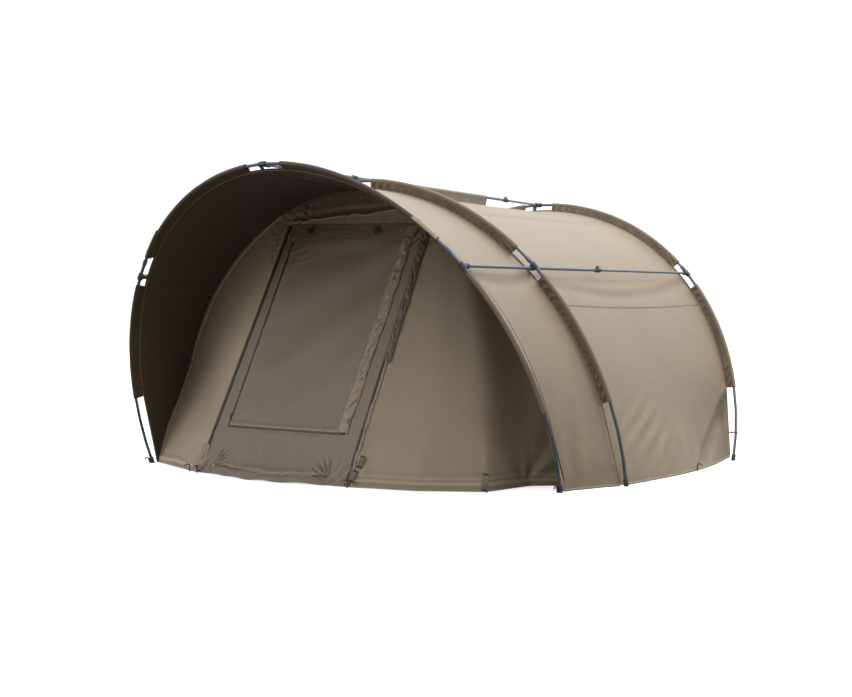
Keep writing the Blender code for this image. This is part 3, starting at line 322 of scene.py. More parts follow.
class Build:
    """Collects grids, boxes and tubes into one mesh."""

    def __init__(self):
        self.points, self.faces, self.slots, self.rims, self.lay, self.painted_fold_shade = [], [], [], [], [], []
        self.count = 0

    def add(self, points, faces, slot, rim, lay=None, painted_fold_shade=None):
        points = np.asarray(points, float).reshape(-1, 3)
        faces = np.asarray(faces).reshape(-1, 4)
        self.points.append(points)
        self.lay.append(points if lay is None else np.asarray(lay).reshape(-1, 3))
        self.painted_fold_shade.append(np.zeros(len(points)) if painted_fold_shade is None else painted_fold_shade)
        self.faces.append(faces + self.count)
        self.slots.append(np.full(len(faces), slot) if np.isscalar(slot) else np.asarray(slot))
        self.rims.append(np.full(len(faces), rim) if np.isscalar(rim) else np.asarray(rim))
        self.count += len(points)

    def slab(self, grid, thickness, facing, slot=0, lining=None, painted_fold_shade=None):
        """A sheet with two faces and a rim. The lining is the slot of the face turned from facing."""
        rows, columns = grid.shape[:2]
        across, total = normals(grid, facing), rows * columns
        outer, inner = grid + across * thickness / 2, grid - across * thickness / 2
        index = np.arange(total).reshape(rows, columns)
        quads = np.stack([index[:-1, :-1], index[:-1, 1:], index[1:, 1:], index[1:, :-1]], -1).reshape(-1, 4)
        first = quads[len(quads) // 2]
        flat = grid.reshape(-1, 3)
        turn = np.cross(flat[first[1]] - flat[first[0]], flat[first[2]] - flat[first[0]])
        if (turn * across.reshape(-1, 3)[first[0]]).sum() < 0:
            quads = quads[:, ::-1]
        edge = np.concatenate([index[0, :-1], index[:-1, -1], index[-1, :0:-1], index[:0:-1, 0]])
        after = np.roll(edge, -1)
        rim = np.stack([edge, after, after + total, edge + total], -1)
        middle = index[rows // 2, 0], index[rows // 2 + 1, 0] if rows > 2 else index[-1, 0]
        side = np.cross(flat[middle[1]] - flat[middle[0]], across.reshape(-1, 3)[middle[0]])
        if (side * (flat[index[rows // 2, min(1, columns - 1)]] - flat[middle[0]])).sum() > 0:
            rim = rim[:, ::-1]
        lay = np.stack([*runs(grid), np.zeros((rows, columns))], -1)
        # The painted shading of creases and crests, turned over on the inner face.
        painted_fold_shade = np.zeros((rows, columns)) if painted_fold_shade is None else painted_fold_shade
        faces = np.concatenate([quads, quads[:, ::-1] + total, rim])
        back = slot if lining is None else lining
        slots = np.repeat([slot, back, slot], [len(quads), len(quads), len(rim)])
        rims = np.concatenate([np.zeros(2 * len(quads), int), np.ones(len(rim), int)])
        self.add(np.concatenate([outer.reshape(-1, 3), inner.reshape(-1, 3)]), faces, slots, rims,
                 np.concatenate([lay.reshape(-1, 3)] * 2), np.concatenate([painted_fold_shade.ravel(), -painted_fold_shade.ravel()]))

    def boxes(self, centres, across, along, out, size, slot=0):
        """A box at each centre, with its size in the across, along and out directions."""
        corners = np.array([(i, j, k) for k in (-1, 1) for j in (-1, 1) for i in (-1, 1)], float) / 2 * size
        frames = np.stack([np.broadcast_to(v, centres.shape) for v in (across, along, out)], 1)
        points = centres[:, None] + np.einsum("ci,nij->ncj", corners, frames)
        faces = np.array([(0, 2, 3, 1), (4, 5, 7, 6), (0, 1, 5, 4), (2, 6, 7, 3), (0, 4, 6, 2), (1, 3, 7, 5)])
        every = (faces[None] + 8 * np.arange(len(centres))[:, None, None]).reshape(-1, 4)
        self.add(points, every, slot, 1)

    def tube(self, path, radius, sides=10, slot=0, squash=1.0):
        """A round tube with closed ends along a path. squash flattens it across the level direction."""
        path = np.asarray(path, float)
        radius = np.broadcast_to(radius, (len(path),))
        forward = unit(np.gradient(path, axis=0))
        level = np.cross(forward, [0.0, 0.0, 1.0])
        weak = np.linalg.norm(level, axis=-1) < 0.05
        level[weak] = np.cross(forward[weak], [0.0, 1.0, 0.0])
        level = unit(level)
        for k in range(1, len(level)):
            if (level[k] * level[k - 1]).sum() < 0:
                level[k] = -level[k]
        rise = np.cross(level, forward)
        turn = np.linspace(0, 2 * math.pi, sides, endpoint=False)
        cos, sin = np.cos(turn)[None, :, None], np.sin(turn)[None, :, None]
        ring = level[:, None] * cos + rise[:, None] * sin * squash
        points = path[:, None] + ring * radius[:, None, None]
        rows, total = len(path), len(path) * sides
        index = np.arange(total).reshape(rows, sides)
        after = np.roll(index, -1, axis=1)
        quads = np.stack([index[:-1], after[:-1], after[1:], index[1:]], -1).reshape(-1, 4)
        caps = []
        for row, centre, flip in ((0, total, False), (rows - 1, total + 1, True)):
            for k in range(0, sides, 2):
                a, b, c = index[row, k], index[row, (k + 1) % sides], index[row, (k + 2) % sides]
                caps.append((centre, a, b, c) if flip else (centre, c, b, a))
        lay = np.stack(np.broadcast_arrays(lengths(path)[:, None], turn[None] * radius[:, None], 0.0), -1)
        lay = np.concatenate([lay.reshape(-1, 3), np.zeros((2, 3))])
        every = np.concatenate([points.reshape(-1, 3), path[:1], path[-1:]])
        self.add(every, np.concatenate([quads, np.array(caps)]), slot,
                 np.concatenate([np.zeros(len(quads), int), np.ones(len(caps), int)]), lay)

    def make(self, name, materials, body, nodes=()):
        mesh = bpy.data.meshes.new(name)
        mesh.from_pydata(np.concatenate(self.points).tolist(), [], np.concatenate(self.faces).tolist())
        for material in materials:
            mesh.materials.append(material)
        rims = np.concatenate(self.rims).astype(bool)
        mesh.polygons.foreach_set("material_index", np.concatenate(self.slots).astype(np.int32))
        mesh.polygons.foreach_set("use_smooth", ~rims)
        loops = np.zeros(len(mesh.loops), np.int32)
        mesh.loops.foreach_get("edge_index", loops)
        flat = np.zeros(len(mesh.edges), bool)
        flat[loops.reshape(-1, 4)[rims].ravel()] = True
        sharp = mesh.attributes.new("sharp_edge", "BOOLEAN", "EDGE")
        sharp.data.foreach_set("value", flat)
        lay = mesh.attributes.new("lay", "FLOAT_VECTOR", "POINT")
        lay.data.foreach_set("vector", np.concatenate(self.lay).astype(np.float32).ravel())
        # A point attribute for painted shade in creases and painted highlight on crests.
        painted_fold_shade = mesh.attributes.new("painted_fold_shade", "FLOAT", "POINT")
        painted_fold_shade.data.foreach_set("value", np.concatenate(self.painted_fold_shade).astype(np.float32))
        piece = bpy.data.objects.new(name, mesh)
        bpy.context.scene.collection.objects.link(piece)
        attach(piece, body)
        if nodes:
            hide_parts(*nodes)
        return piece


# Materials

def new_material(name, colour, roughness, metallic=0.0, **extra):
    material = bpy.data.materials.new(name)
    material.use_nodes = True
    shader = material.node_tree.nodes["Principled BSDF"]
    shader.inputs["Base Color"].default_value = (*colour, 1.0)
    shader.inputs["Roughness"].default_value = roughness
    shader.inputs["Metallic"].default_value = metallic
    for socket, value in extra.items():
        shader.inputs[socket.replace("_", " ")].default_value = value
    return material, material.node_tree, shader


def node(tree, kind, **values):
    made = tree.nodes.new(kind)
    for name, value in values.items():
        if name in made.inputs:
            made.inputs[name].default_value = value
        else:
            setattr(made, name, value)
    return made


def texture(tree, vector, kind, scale, **values):
    made = node(tree, kind, **values)
    made.inputs["Scale"].default_value = scale
    tree.links.new(vector, made.inputs["Vector"])
    return made.outputs["Fac"]


def math_node(tree, operation, first, second, third=None):
    made = node(tree, "ShaderNodeMath", operation=operation)
    for index, value in enumerate((first, second, third)):
        if value is None:
            continue
        if isinstance(value, (int, float)):
            made.inputs[index].default_value = value
        else:
            tree.links.new(value, made.inputs[index])
    return made.outputs[0]


def ranged(tree, value, low, high, to_low, to_high):
    made = node(tree, "ShaderNodeMapRange")
    tree.links.new(value, made.inputs["Value"])
    for name, number in (("From Min", low), ("From Max", high), ("To Min", to_low), ("To Max", to_high)):
        made.inputs[name].default_value = number
    return made.outputs["Result"]


def attribute(tree, name, output):
    return node(tree, "ShaderNodeAttribute", attribute_name=name).outputs[output]


def position(tree):
    return node(tree, "ShaderNodeNewGeometry").outputs["Position"]


def tint(tree, shader, colour, tone):
    """Colour a surface, lighter or darker from place to place by a tone."""
    scaled = node(tree, "ShaderNodeVectorMath", operation="SCALE")
    scaled.inputs[0].default_value = colour
    tree.links.new(tone, scaled.inputs["Scale"])
    tree.links.new(scaled.outputs[0], shader.inputs["Base Color"])


def vary_roughness(tree, shader, value, low, high):
    tree.links.new(ranged(tree, value, 0.3, 0.7, low, high), shader.inputs["Roughness"])


def emboss(tree, shader, height, strength, distance, under=None):
    """Relief on a surface, laid over another relief where there is one."""
    made = node(tree, "ShaderNodeBump", Strength=strength, Distance=distance)
    tree.links.new(height, made.inputs["Height"])
    if under is not None:
        tree.links.new(under, made.inputs["Normal"])
    tree.links.new(made.outputs[0], shader.inputs["Normal"])
    return made.outputs[0]


def cloth_material(name, colour, roughness=0.62, crinkle=0.0016, gloss=0.5):
    """Coated woven polyester: a fine weave, soft crinkles, uneven tone, soil near the ground, and painted
    shade in creases with painted highlight on crests.
    """
    mottle, soil, weave_scale = 0.10, 0.25, 260.0
    material, tree, shader = new_material(name, colour, roughness, Sheen_Weight=0.08, Sheen_Roughness=0.45,
                                          Coat_Weight=gloss, Coat_Roughness=0.42)
    lay = attribute(tree, "lay", "Vector")
    place = position(tree)
    broad = texture(tree, place, "ShaderNodeTexNoise", 2.3, Detail=4.0, Roughness=0.55)
    fine = texture(tree, lay, "ShaderNodeTexNoise", 42.0, Detail=3.0, Roughness=0.6)
    warp, weft = (texture(tree, lay, "ShaderNodeTexWave", weave_scale, bands_direction=way, Distortion=0.6)
                  for way in ("X", "Y"))
    weave = math_node(tree, "MULTIPLY", warp, weft)
    height = node(tree, "ShaderNodeSeparateXYZ")
    tree.links.new(place, height.inputs[0])
    ground = ranged(tree, height.outputs["Z"], 0.0, 0.16, soil, 0.0)
    speck = texture(tree, place, "ShaderNodeTexNoise", 14.0, Detail=5.0, Roughness=0.7)
    dirt = math_node(tree, "MULTIPLY", ground, speck)
    tone = ranged(tree, broad, 0.25, 0.75, 1.0 - mottle, 1.0 + mottle)
    tone = math_node(tree, "MULTIPLY_ADD", fine, 0.10, math_node(tree, "SUBTRACT", tone, 0.05))
    tone = math_node(tree, "MULTIPLY_ADD", weave, 0.06, tone)
    tone = math_node(tree, "SUBTRACT", tone, dirt)
    # Painted shade in the cloth's creases and painted highlight on its crests, from a point attribute.
    shade = ranged(tree, attribute(tree, "painted_fold_shade", "Fac"), -1.0, 1.0, 0.50, 1.22)
    tint(tree, shader, colour, math_node(tree, "MULTIPLY", tone, shade))
    vary_roughness(tree, shader, broad, roughness - 0.06, roughness + 0.08)
    soft = texture(tree, lay, "ShaderNodeTexNoise", 11.0, Detail=5.0, Roughness=0.55, Distortion=0.8)
    crease = emboss(tree, shader, soft, 0.55, crinkle * 4)
    emboss(tree, shader, weave, 0.35, 0.0004, crease)
    return material


def webbing_material(name, colour):
    """Ribbed nylon webbing or zip tape, with ribs along and across."""
    material, tree, shader = new_material(name, colour, 0.7, Sheen_Weight=0.12)
    lay = attribute(tree, "lay", "Vector")
    rib = texture(tree, lay, "ShaderNodeTexWave", 190.0, bands_direction="Y", Distortion=0.3)
    cross = texture(tree, lay, "ShaderNodeTexWave", 120.0, bands_direction="X", Distortion=0.3)
    both = math_node(tree, "MULTIPLY_ADD", rib, 0.6, cross)
    worn = texture(tree, lay, "ShaderNodeTexNoise", 60.0, Detail=4.0)
    tone = ranged(tree, worn, 0.3, 0.7, 0.68, 1.0)
    tint(tree, shader, colour, math_node(tree, "MULTIPLY_ADD", both, 0.22, tone))
    emboss(tree, shader, both, 0.6, 0.0006)
    return material


def metal_material(name, colour, roughness, metallic):
    """Anodised tube with fine drawn streaks and light scuffs."""
    material, tree, shader = new_material(name, colour, roughness, metallic)
    place = position(tree)
    scuff = texture(tree, place, "ShaderNodeTexNoise", 85.0, Detail=6.0, Roughness=0.7)
    patch = texture(tree, place, "ShaderNodeTexNoise", 9.0, Detail=3.0)
    tone = ranged(tree, patch, 0.3, 0.7, 0.72, 0.98)
    tint(tree, shader, colour, math_node(tree, "MULTIPLY_ADD", scuff, 0.35, tone))
    vary_roughness(tree, shader, scuff, roughness - 0.08, roughness + 0.12)
    emboss(tree, shader, scuff, 0.2, 0.0003)
    return material


def plastic_material(name, colour, roughness=0.45):
    """Moulded plastic with a fine spark texture and paler wear."""
    material, tree, shader = new_material(name, colour, roughness)
    place = position(tree)
    grain = texture(tree, place, "ShaderNodeTexNoise", 900.0, Detail=3.0)
    wear = texture(tree, place, "ShaderNodeTexNoise", 60.0, Detail=5.0, Roughness=0.7)
    tint(tree, shader, colour, ranged(tree, wear, 0.35, 0.75, 0.8, 1.9))
    vary_roughness(tree, shader, wear, roughness - 0.1, roughness + 0.15)
    emboss(tree, shader, grain, 0.25, 0.0002)
    return material


CANOPY = cloth_material("canopy_outside", KHAKI, 0.55, gloss=0.35)
# Lining of every cloth: partly the coating's colour, partly painted shade of the inside.
CANOPY_IN = cloth_material("cloth_inside_coating_and_shade", INSIDE_COATING_AND_SHADE, 0.6, gloss=0.2)
HOOD = cloth_material("hood_outside", KHAKI, 0.55, gloss=0.35)
# Painted shade: the wall's cloth as a darker copy of the canopy's.
WALL = cloth_material("wall_outside_painted_shade", SHADED_WALL_KHAKI, 0.58, crinkle=0.0010, gloss=0.15)
# Painted light: a lighter copy of the wall's cloth for the left wing.
WING = cloth_material("left_wing_painted_light", LIT_WING_KHAKI, 0.58, crinkle=0.0010, gloss=0.15)
# Painted shade: door and window in a darker copy of the cloth.
DOOR = cloth_material("door_outside_painted_shade", SHADED_DOOR_KHAKI, 0.58, crinkle=0.0012, gloss=0.15)
SLEEVE = cloth_material("sleeve_outside", BROWN, 0.62, crinkle=0.0010, gloss=0.2)
# Painted shade: a darker copy of the sleeve cloth for the front hoop.
SHADED_FRONT_SLEEVE = cloth_material("front_sleeve_painted_shade", SHADED_FRONT_BROWN, 0.62, crinkle=0.0010, gloss=0.2)
TAPE = webbing_material("zip_tape", (0.018, 0.016, 0.013))
WEBBING = webbing_material("webbing", (0.125, 0.104, 0.072))
TRIM = webbing_material("light_trim", (0.40, 0.34, 0.26))
PIPING = cloth_material("piping", (0.26, 0.19, 0.115), 0.6, crinkle=0.0005)
# Painted shade: a darker copy of the wall's cloth for the crumpled gathers.
SHADED_GATHER_CLOTH = cloth_material("gathered_cloth_painted_shade", (0.120, 0.092, 0.056), 0.55, crinkle=0.0008, gloss=0.2)
# A dark seam beside the middle legs, and painted shadow of the gap between the front sleeve and the hood.
DARK_SEAM_AND_SHADOW = cloth_material("dark_seam_and_painted_shadow", (0.050, 0.036, 0.020), 0.6, crinkle=0.0005, gloss=0.2)
EDGE_PIPING = cloth_material("edge_piping", (0.62, 0.43, 0.24), 0.6, crinkle=0.0005, gloss=0.2)
RIBBON = cloth_material("ribbon_cloth", (0.250, 0.194, 0.124), 0.5, crinkle=0.0008, gloss=0.2)
BAR_CLOTH = cloth_material("bar_sleeve_outside", (0.270, 0.232, 0.175), 0.55, crinkle=0.0010)
HEM_CLOTH = cloth_material("hem_tape", (0.330, 0.265, 0.185), 0.6, crinkle=0.0005)
POLE = metal_material("pole_finish", (0.120, 0.145, 0.185), 0.34, 0.60)
BAR = metal_material("bar_finish", (0.175, 0.205, 0.260), 0.34, 0.55)
PEG = metal_material("peg_finish", (0.10, 0.12, 0.15), 0.40, 0.6)
PLASTIC = plastic_material("black_moulding", (0.040, 0.047, 0.060))
TEETH = plastic_material("zip_teeth", (0.016, 0.015, 0.014), 0.35)
CORD = webbing_material("cord_black", (0.012, 0.012, 0.013))
THREAD = webbing_material("thread", (0.13, 0.105, 0.075))


def tube_piece(name, path, radius, material, body, sides=TUBE_SIDES):
    build = Build()
    build.tube(path, radius, sides)
    build.make(name, [material], body)


# Canopies

def canopy(front, back, rows, sag, bow):
    """The cloth between two seam lines, pulled in between the hoops and bowed out near the ground."""
    first, last = seam(front), seam(back)
    share = np.linspace(0.0, 1.0, rows)[:, None, None]
    grid = first * (1 - share) + last * share
    middle = grid * [0.0, 1.0, 0.5]
    wave = np.sin(math.pi * share)
    grid = grid + unit(middle - grid) * sag * wave
    near = np.clip(1.0 - grid[..., 2:] / 0.60, 0, None) ** 2
    grid[..., :1] += np.sign(grid[..., :1]) * bow * wave * near
    # The bend where the seams leave the sleeves dies out between the hoops.
    even = grid
    for _ in range(3):
        even = blurred(even, 7, 1)
    ends = np.abs(np.arange(grid.shape[1]) - (grid.shape[1] - 1) / 2)
    keep = fade((grid.shape[1] - 1) / 2 - ends, 8.0)[None, :, None]
    return grid + (even - grid) * fade(wave, 0.45) * keep


def run_at(grid, row, height, side):
    """The distance from the apex, along a row, at which one side of it reaches a height."""
    line = grid[row]
    half = len(line) // 2
    part = line[half:] if side < 0 else line[half::-1]
    run = lengths(part)
    return np.interp(-height, -part[:, 2], run)


def coordinates(grid):
    """Signed distance from the apex along each row, distance from the front seam, and from the rear seam."""
    run, back = runs(grid)
    run = run - run[:, [run.shape[1] // 2]]
    return run, back, back[-1:] - back


def soft_groove(grid, run, share, start, end, sag, width, depth, side):
    """A shallow crease that hangs between a point on the front seam and one on the rear seam."""
    first, last = run_at(grid, 0, start, side), run_at(grid, len(grid) - 1, end, side)
    centre = first + (last - first) * share + 4 * sag * share * (1 - share)
    off = np.abs(run) - centre
    here = np.sign(run) == -side
    profile = bump(off, width) - 0.55 * bump(off + 1.6 * width, width)
    return -depth * profile * here * (0.35 + 0.65 * np.sin(math.pi * share))


def make_hood():
    grid = canopy(FRONT, MIDDLE, 60, 0.006, 0.0)
    run, front, back = coordinates(grid)
    share = np.linspace(0, 1, len(grid))[:, None]
    height = 0.0045 * noise(run / 0.45, front / 0.35, 11)
    height += 0.0020 * puckers(front, run, 12, 0.036, 0.022) + 0.0028 * puckers(back, run, 14, 0.032, 0.040)
    for side in (1, -1):
        height += soft_groove(grid, run, share, 0.985, 0.995, 0.045, 0.026, 0.0034, side)
    low = grid[..., 2]
    wander = 1.5 * noise(front / 0.2, low / 0.4, 15)
    waves = np.sin(2 * math.pi * (front - 0.25 * low) / 0.15 + wander)
    height += 0.0040 * bump(low - 0.12, 0.20) * waves
    height = height * fade(np.minimum(front, back), 0.016)
    grid = raised(grid, None, height)
    build = Build()
    # The last argument paints shade into the creases and highlight onto the crests.
    build.slab(grid, CLOTH_THICKNESS, None, 0, 1, hollows(height) * 0.5)
    piece = build.make("hood_cloth", [HOOD, CANOPY_IN], "tent", ["hood_canopy"])
    return grid


def side_seam_height(share):
    return SIDE_SEAM_HEIGHT + SIDE_SEAM_RISE * share - SIDE_SEAM_SAG * share * (1 - share)


def make_main():
    grid = canopy(MIDDLE, REAR, 120, 0.010, 0.095)
    run, front, back = coordinates(grid)
    share = np.linspace(0, 1, len(grid))[:, None]
    low = grid[..., 2]
    height = (0.004 + 0.006 * bump(low, 0.8)) * noise(run / 0.42, front / 0.38, 21)
    height *= fade(front, 0.1) * fade(back, 0.1)
    height += 0.0022 * puckers(front, run, 22, 0.032, 0.045) + 0.0032 * puckers(back, run, 24, 0.028, 0.050)
    # The ridge hangs lower where the bar's sleeve stops.
    height -= 0.016 * bump(run, 0.55) * bump(back - 0.33, 0.24)
    for side in (1, -1):
        here = np.sign(run) == -side
        height += soft_groove(grid, run, share, 0.975, 1.03, 0.075, 0.030, 0.0042, side)
        height += soft_groove(grid, run, share, 1.33, 1.41, 0.02, 0.05, 0.0040, side)
        off = (low - side_seam_height(share)) * 1.15
        height += 0.0016 * puckers(np.abs(off), front, 29, 0.040, 0.025, 0.8) * here
        wander = 1.2 * noise(back / 0.5, low / 0.3, 26)
        lines = np.sin(2 * math.pi * (back * 0.42 + low * 0.9) / 0.075 + wander)
        height += 0.0022 * lines * bump(back - 1.22, 0.24) * bump(low - 0.24, 0.13) * here
        # Folds that run from the side's peg up to the end of the rear sleeve.
        bottom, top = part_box(f"side_{'right' if side > 0 else 'left'}_peg")
        peg = np.array([(bottom.x + top.x) / 2, (bottom.y + top.y) / 2, 0.0])
        end = seam_height(REAR, 0.415, side)
        for spread, depth, width in ((0.0, 0.0085, 0.020), (0.055, 0.0060, 0.018), (0.12, 0.0045, 0.018)):
            tip = seam_height(REAR, 0.415 - spread, side) + [0, -1.1 * spread, 0]
            foot = peg + [0, -0.35 * spread, 0.02]
            height += depth * ridge(grid, foot, tip, width) * here
            valley = ridge(grid, foot + [0, 0.045, 0], tip + [0, 0.03, -0.04], width * 1.1)
            height -= 0.75 * depth * valley * here
        height -= 0.012 * ridge(grid, peg + [0, 0.13, 0.05], end + [0, -0.01, -0.13], 0.06) * here
        for reach, tilt in ((0.20, 0.10), (0.42, 0.05)):
            first, last = peg + [0, -reach - 0.5, 0.035], peg + [0, -reach, 0.05 + tilt]
            height += 0.0050 * ridge(grid, first, last, 0.011) * here
    height += 0.0035 * folds(front / 0.30, low / 0.5, 28) * bump(low - 0.12, 0.10)
    height = height * fade(np.minimum(front, back), 0.014)
    grid = raised(grid, None, height)
    build = Build()
    # The last argument paints shade into the creases and highlight onto the crests.
    build.slab(grid, CLOTH_THICKNESS, None, 0, 1, hollows(height) * 0.6)
    piece = build.make("main_cloth", [CANOPY, CANOPY_IN], "tent", ["main_canopy"])
    return grid


def make_hems(hood, main):
    """Light hem tape along the ground edges of both canopies, and piping where they meet the front sleeve."""
    for name, grid, slot in (("hood", hood, "hood_cloth"), ("main", main, "canopy_cloth")):
        build = Build()
        for column in (0, -1):
            line = grid[2:-2, column] * [1, 1, 0] + [0, 0, 0.0055]
            out = np.sign(line[:1, :1]) * np.array([[1.0, 0.0, 0.0]])
            wander = 0.0012 * noise(lengths(line) / 0.05, lengths(line) * 0, 31)[:, None]
            build.tube(line + out * (0.0022 + wander), 0.0040, 8, squash=1.35)
        build.make(f"{name}_hem", [HEM_CLOTH], "tent")
    ridge_line = hood[3:-3, hood.shape[1] // 2] - [0, 0, 0.004]
    tube_piece("hood_inner_ridge_piping", ridge_line, 0.0026, PIPING, "tent")
    angles = np.linspace(angle_at(FRONT, FRONT.leg_top), math.pi - angle_at(FRONT, FRONT.leg_top), 260)
    _, fin, square = axes_at(FRONT, angles)
    line = hoop_at(FRONT, angles) + fin * (FIN_WIDTH + 0.001) - square * 0.0022
    tube_piece("front_seam_piping", line, 0.0017, PIPING, "tent", 6)
    # A light strip and a dark band on the hood beside the front sleeve's lower stretches; the dark band is
    # painted shadow of the gap between the sleeve and the hood.
    face = hood + normals(hood, None) * 0.0021
    for part, start, end, material in (("strip", 1.7, 3.3, TRIM), ("binding", 3.4, 4.7, DARK_SEAM_AND_SHADOW)):
        rows = np.linspace(start, end, 4)
        low = rows.astype(int)
        rest = (rows - low)[:, None, None]
        cloth = face[low] * (1 - rest) + face[low + 1] * rest
        for span, name in ((slice(2, 78), "right"), (slice(-79, -3), "left")):
            build = Build()
            build.slab(cloth[:, span], 0.0012, None, 0)
            build.make(f"front_{name}_{part}", [material], "tent")
    # Light hems beside the front and rear legs, and a dark seam beside the middle legs.
    for name, lines, slot in (("hood", (hood[0, :20], hood[0, -20:]), "hood_cloth"),
                              ("main", (main[-1, :20], main[-1, -20:]), "canopy_cloth")):
        build = Build()
        for line in lines:
            build.tube(line_at(line, np.linspace(0.02, 0.99, 60)), 0.0034, 8)
        build.make(f"{name}_leg_hem", [HEM_CLOTH], "tent")
    build = Build()
    for line in (hood[-1, :19], hood[-1, -19:]):
        build.tube(line_at(line, np.linspace(0.02, 0.99, 60)), 0.0026, 8)
    build.make("middle_leg_seam", [DARK_SEAM_AND_SHADOW], "tent")


def on_grid(grid, share, run_share):
    """A point of a grid at shares of its rows and columns."""
    row, column = share * (grid.shape[0] - 1), run_share * (grid.shape[1] - 1)
    r, c = int(min(row, grid.shape[0] - 2)), int(min(column, grid.shape[1] - 2))
    a, b = row - r, column - c
    near = grid[r, c] * (1 - a) + grid[r + 1, c] * a
    far = grid[r, c + 1] * (1 - a) + grid[r + 1, c + 1] * a
    return near * (1 - b) + far * b


def seam_tape(build, path, across, out, width, lift=0.0012):
    """A flat-felled seam: a narrow band that lies on the cloth, with two rows of stitches."""
    offsets = np.array([-0.5, -0.38, 0.38, 0.5]) * width
    lifts = np.array([0.0, 1.0, 1.0, 0.0]) * lift
    build.slab(band(path, across, offsets, out, lifts), 0.0008, out.mean(0), 0)
    run = lengths(path)
    at = np.linspace(0.002, run[-1] - 0.002, int(run[-1] / STITCH_PITCH))
    for offset in (-0.30, 0.30):
        centre = points_at(at, run, path + across * offset * width + out * (lift + 0.0006))
        forward = unit(np.gradient(centre, axis=0))
        side = points_at(at, run, across)
        face = unit(np.cross(side, forward))
        build.boxes(centre, side, forward, face, (0.0007, 0.0048, 0.0006), 1)


def grid_seams(hood, main):
    """The seams on the two canopies: the ridges and the main canopy's side seams."""
    middle = 0.5
    hood_ridge = [(share, middle) for share in np.linspace(0.02, 0.98, 50)]
    main_ridge = [(share, middle) for share in np.linspace(0.01, 0.99, 90)]
    jobs = [("hood_ridge_seam", hood, hood_ridge, "hood_cloth", HOOD),
            ("main_ridge_seam", main, main_ridge, "canopy_cloth", CANOPY)]
    half = main.shape[1] // 2
    for side, name in ((1, "right"), (-1, "left")):
        cells = []
        for share in np.linspace(0.01, 0.99, 110):
            line = main[int(round(share * (len(main) - 1)))]
            part = line[half:] if side < 0 else line[half::-1]
            step = np.interp(-side_seam_height(share), -part[:, 2], np.arange(len(part)))
            cells.append((share, (half + step if side < 0 else half - step) / (main.shape[1] - 1)))
        jobs.append((f"main_{name}_side_seam", main, cells, "canopy_cloth", CANOPY))
    for name, grid, cells, slot, material in jobs:
        path = np.array([on_grid(grid, *cell) for cell in cells])
        near = np.array([on_grid(grid, cell[0], min(cell[1] + 0.004, 1.0)) for cell in cells])
        across = unit(near - path)
        forward = unit(np.gradient(path, axis=0))
        out = unit(np.cross(across, forward))
        away = path - path * [0.0, 1.0, 0.3]
        if (out * away).sum() < 0:
            out = -out
        across = unit(np.cross(forward, out))
        build = Build()
        seam_tape(build, path + out * 0.0012, across, out, SEAM_TAPE_WIDTH)
        build.make(name, [material, THREAD], "tent")


# Sleeves

def sleeve_section():
    """A sleeve's section: (towards the seam, square to it) from the seam, round the pole and back."""
    seamward = [(x, 0.0007) for x in (FIN_WIDTH + FIN_OVERLAP, FIN_WIDTH, 0.040, 0.036, 0.0325)]
    turn = math.acos(SLEEVE_RADIUS / FIN_START)
    tip = np.array([FIN_START, 0.0010])
    touch = SLEEVE_RADIUS * np.array([math.cos(turn), math.sin(turn)])
    cone = [tuple(tip + (touch - tip) * k / 7) for k in range(8)]
    turns = np.linspace(turn, 2 * math.pi - turn, 16)[1:-1]
    ring = [(SLEEVE_RADIUS * math.cos(t), SLEEVE_RADIUS * math.sin(t)) for t in turns]
    back = [(x, -y - 0.0002) for x, y in cone[::-1]] + [(0.0365, -0.0012)]
    return np.array(seamward + cone + ring + back)


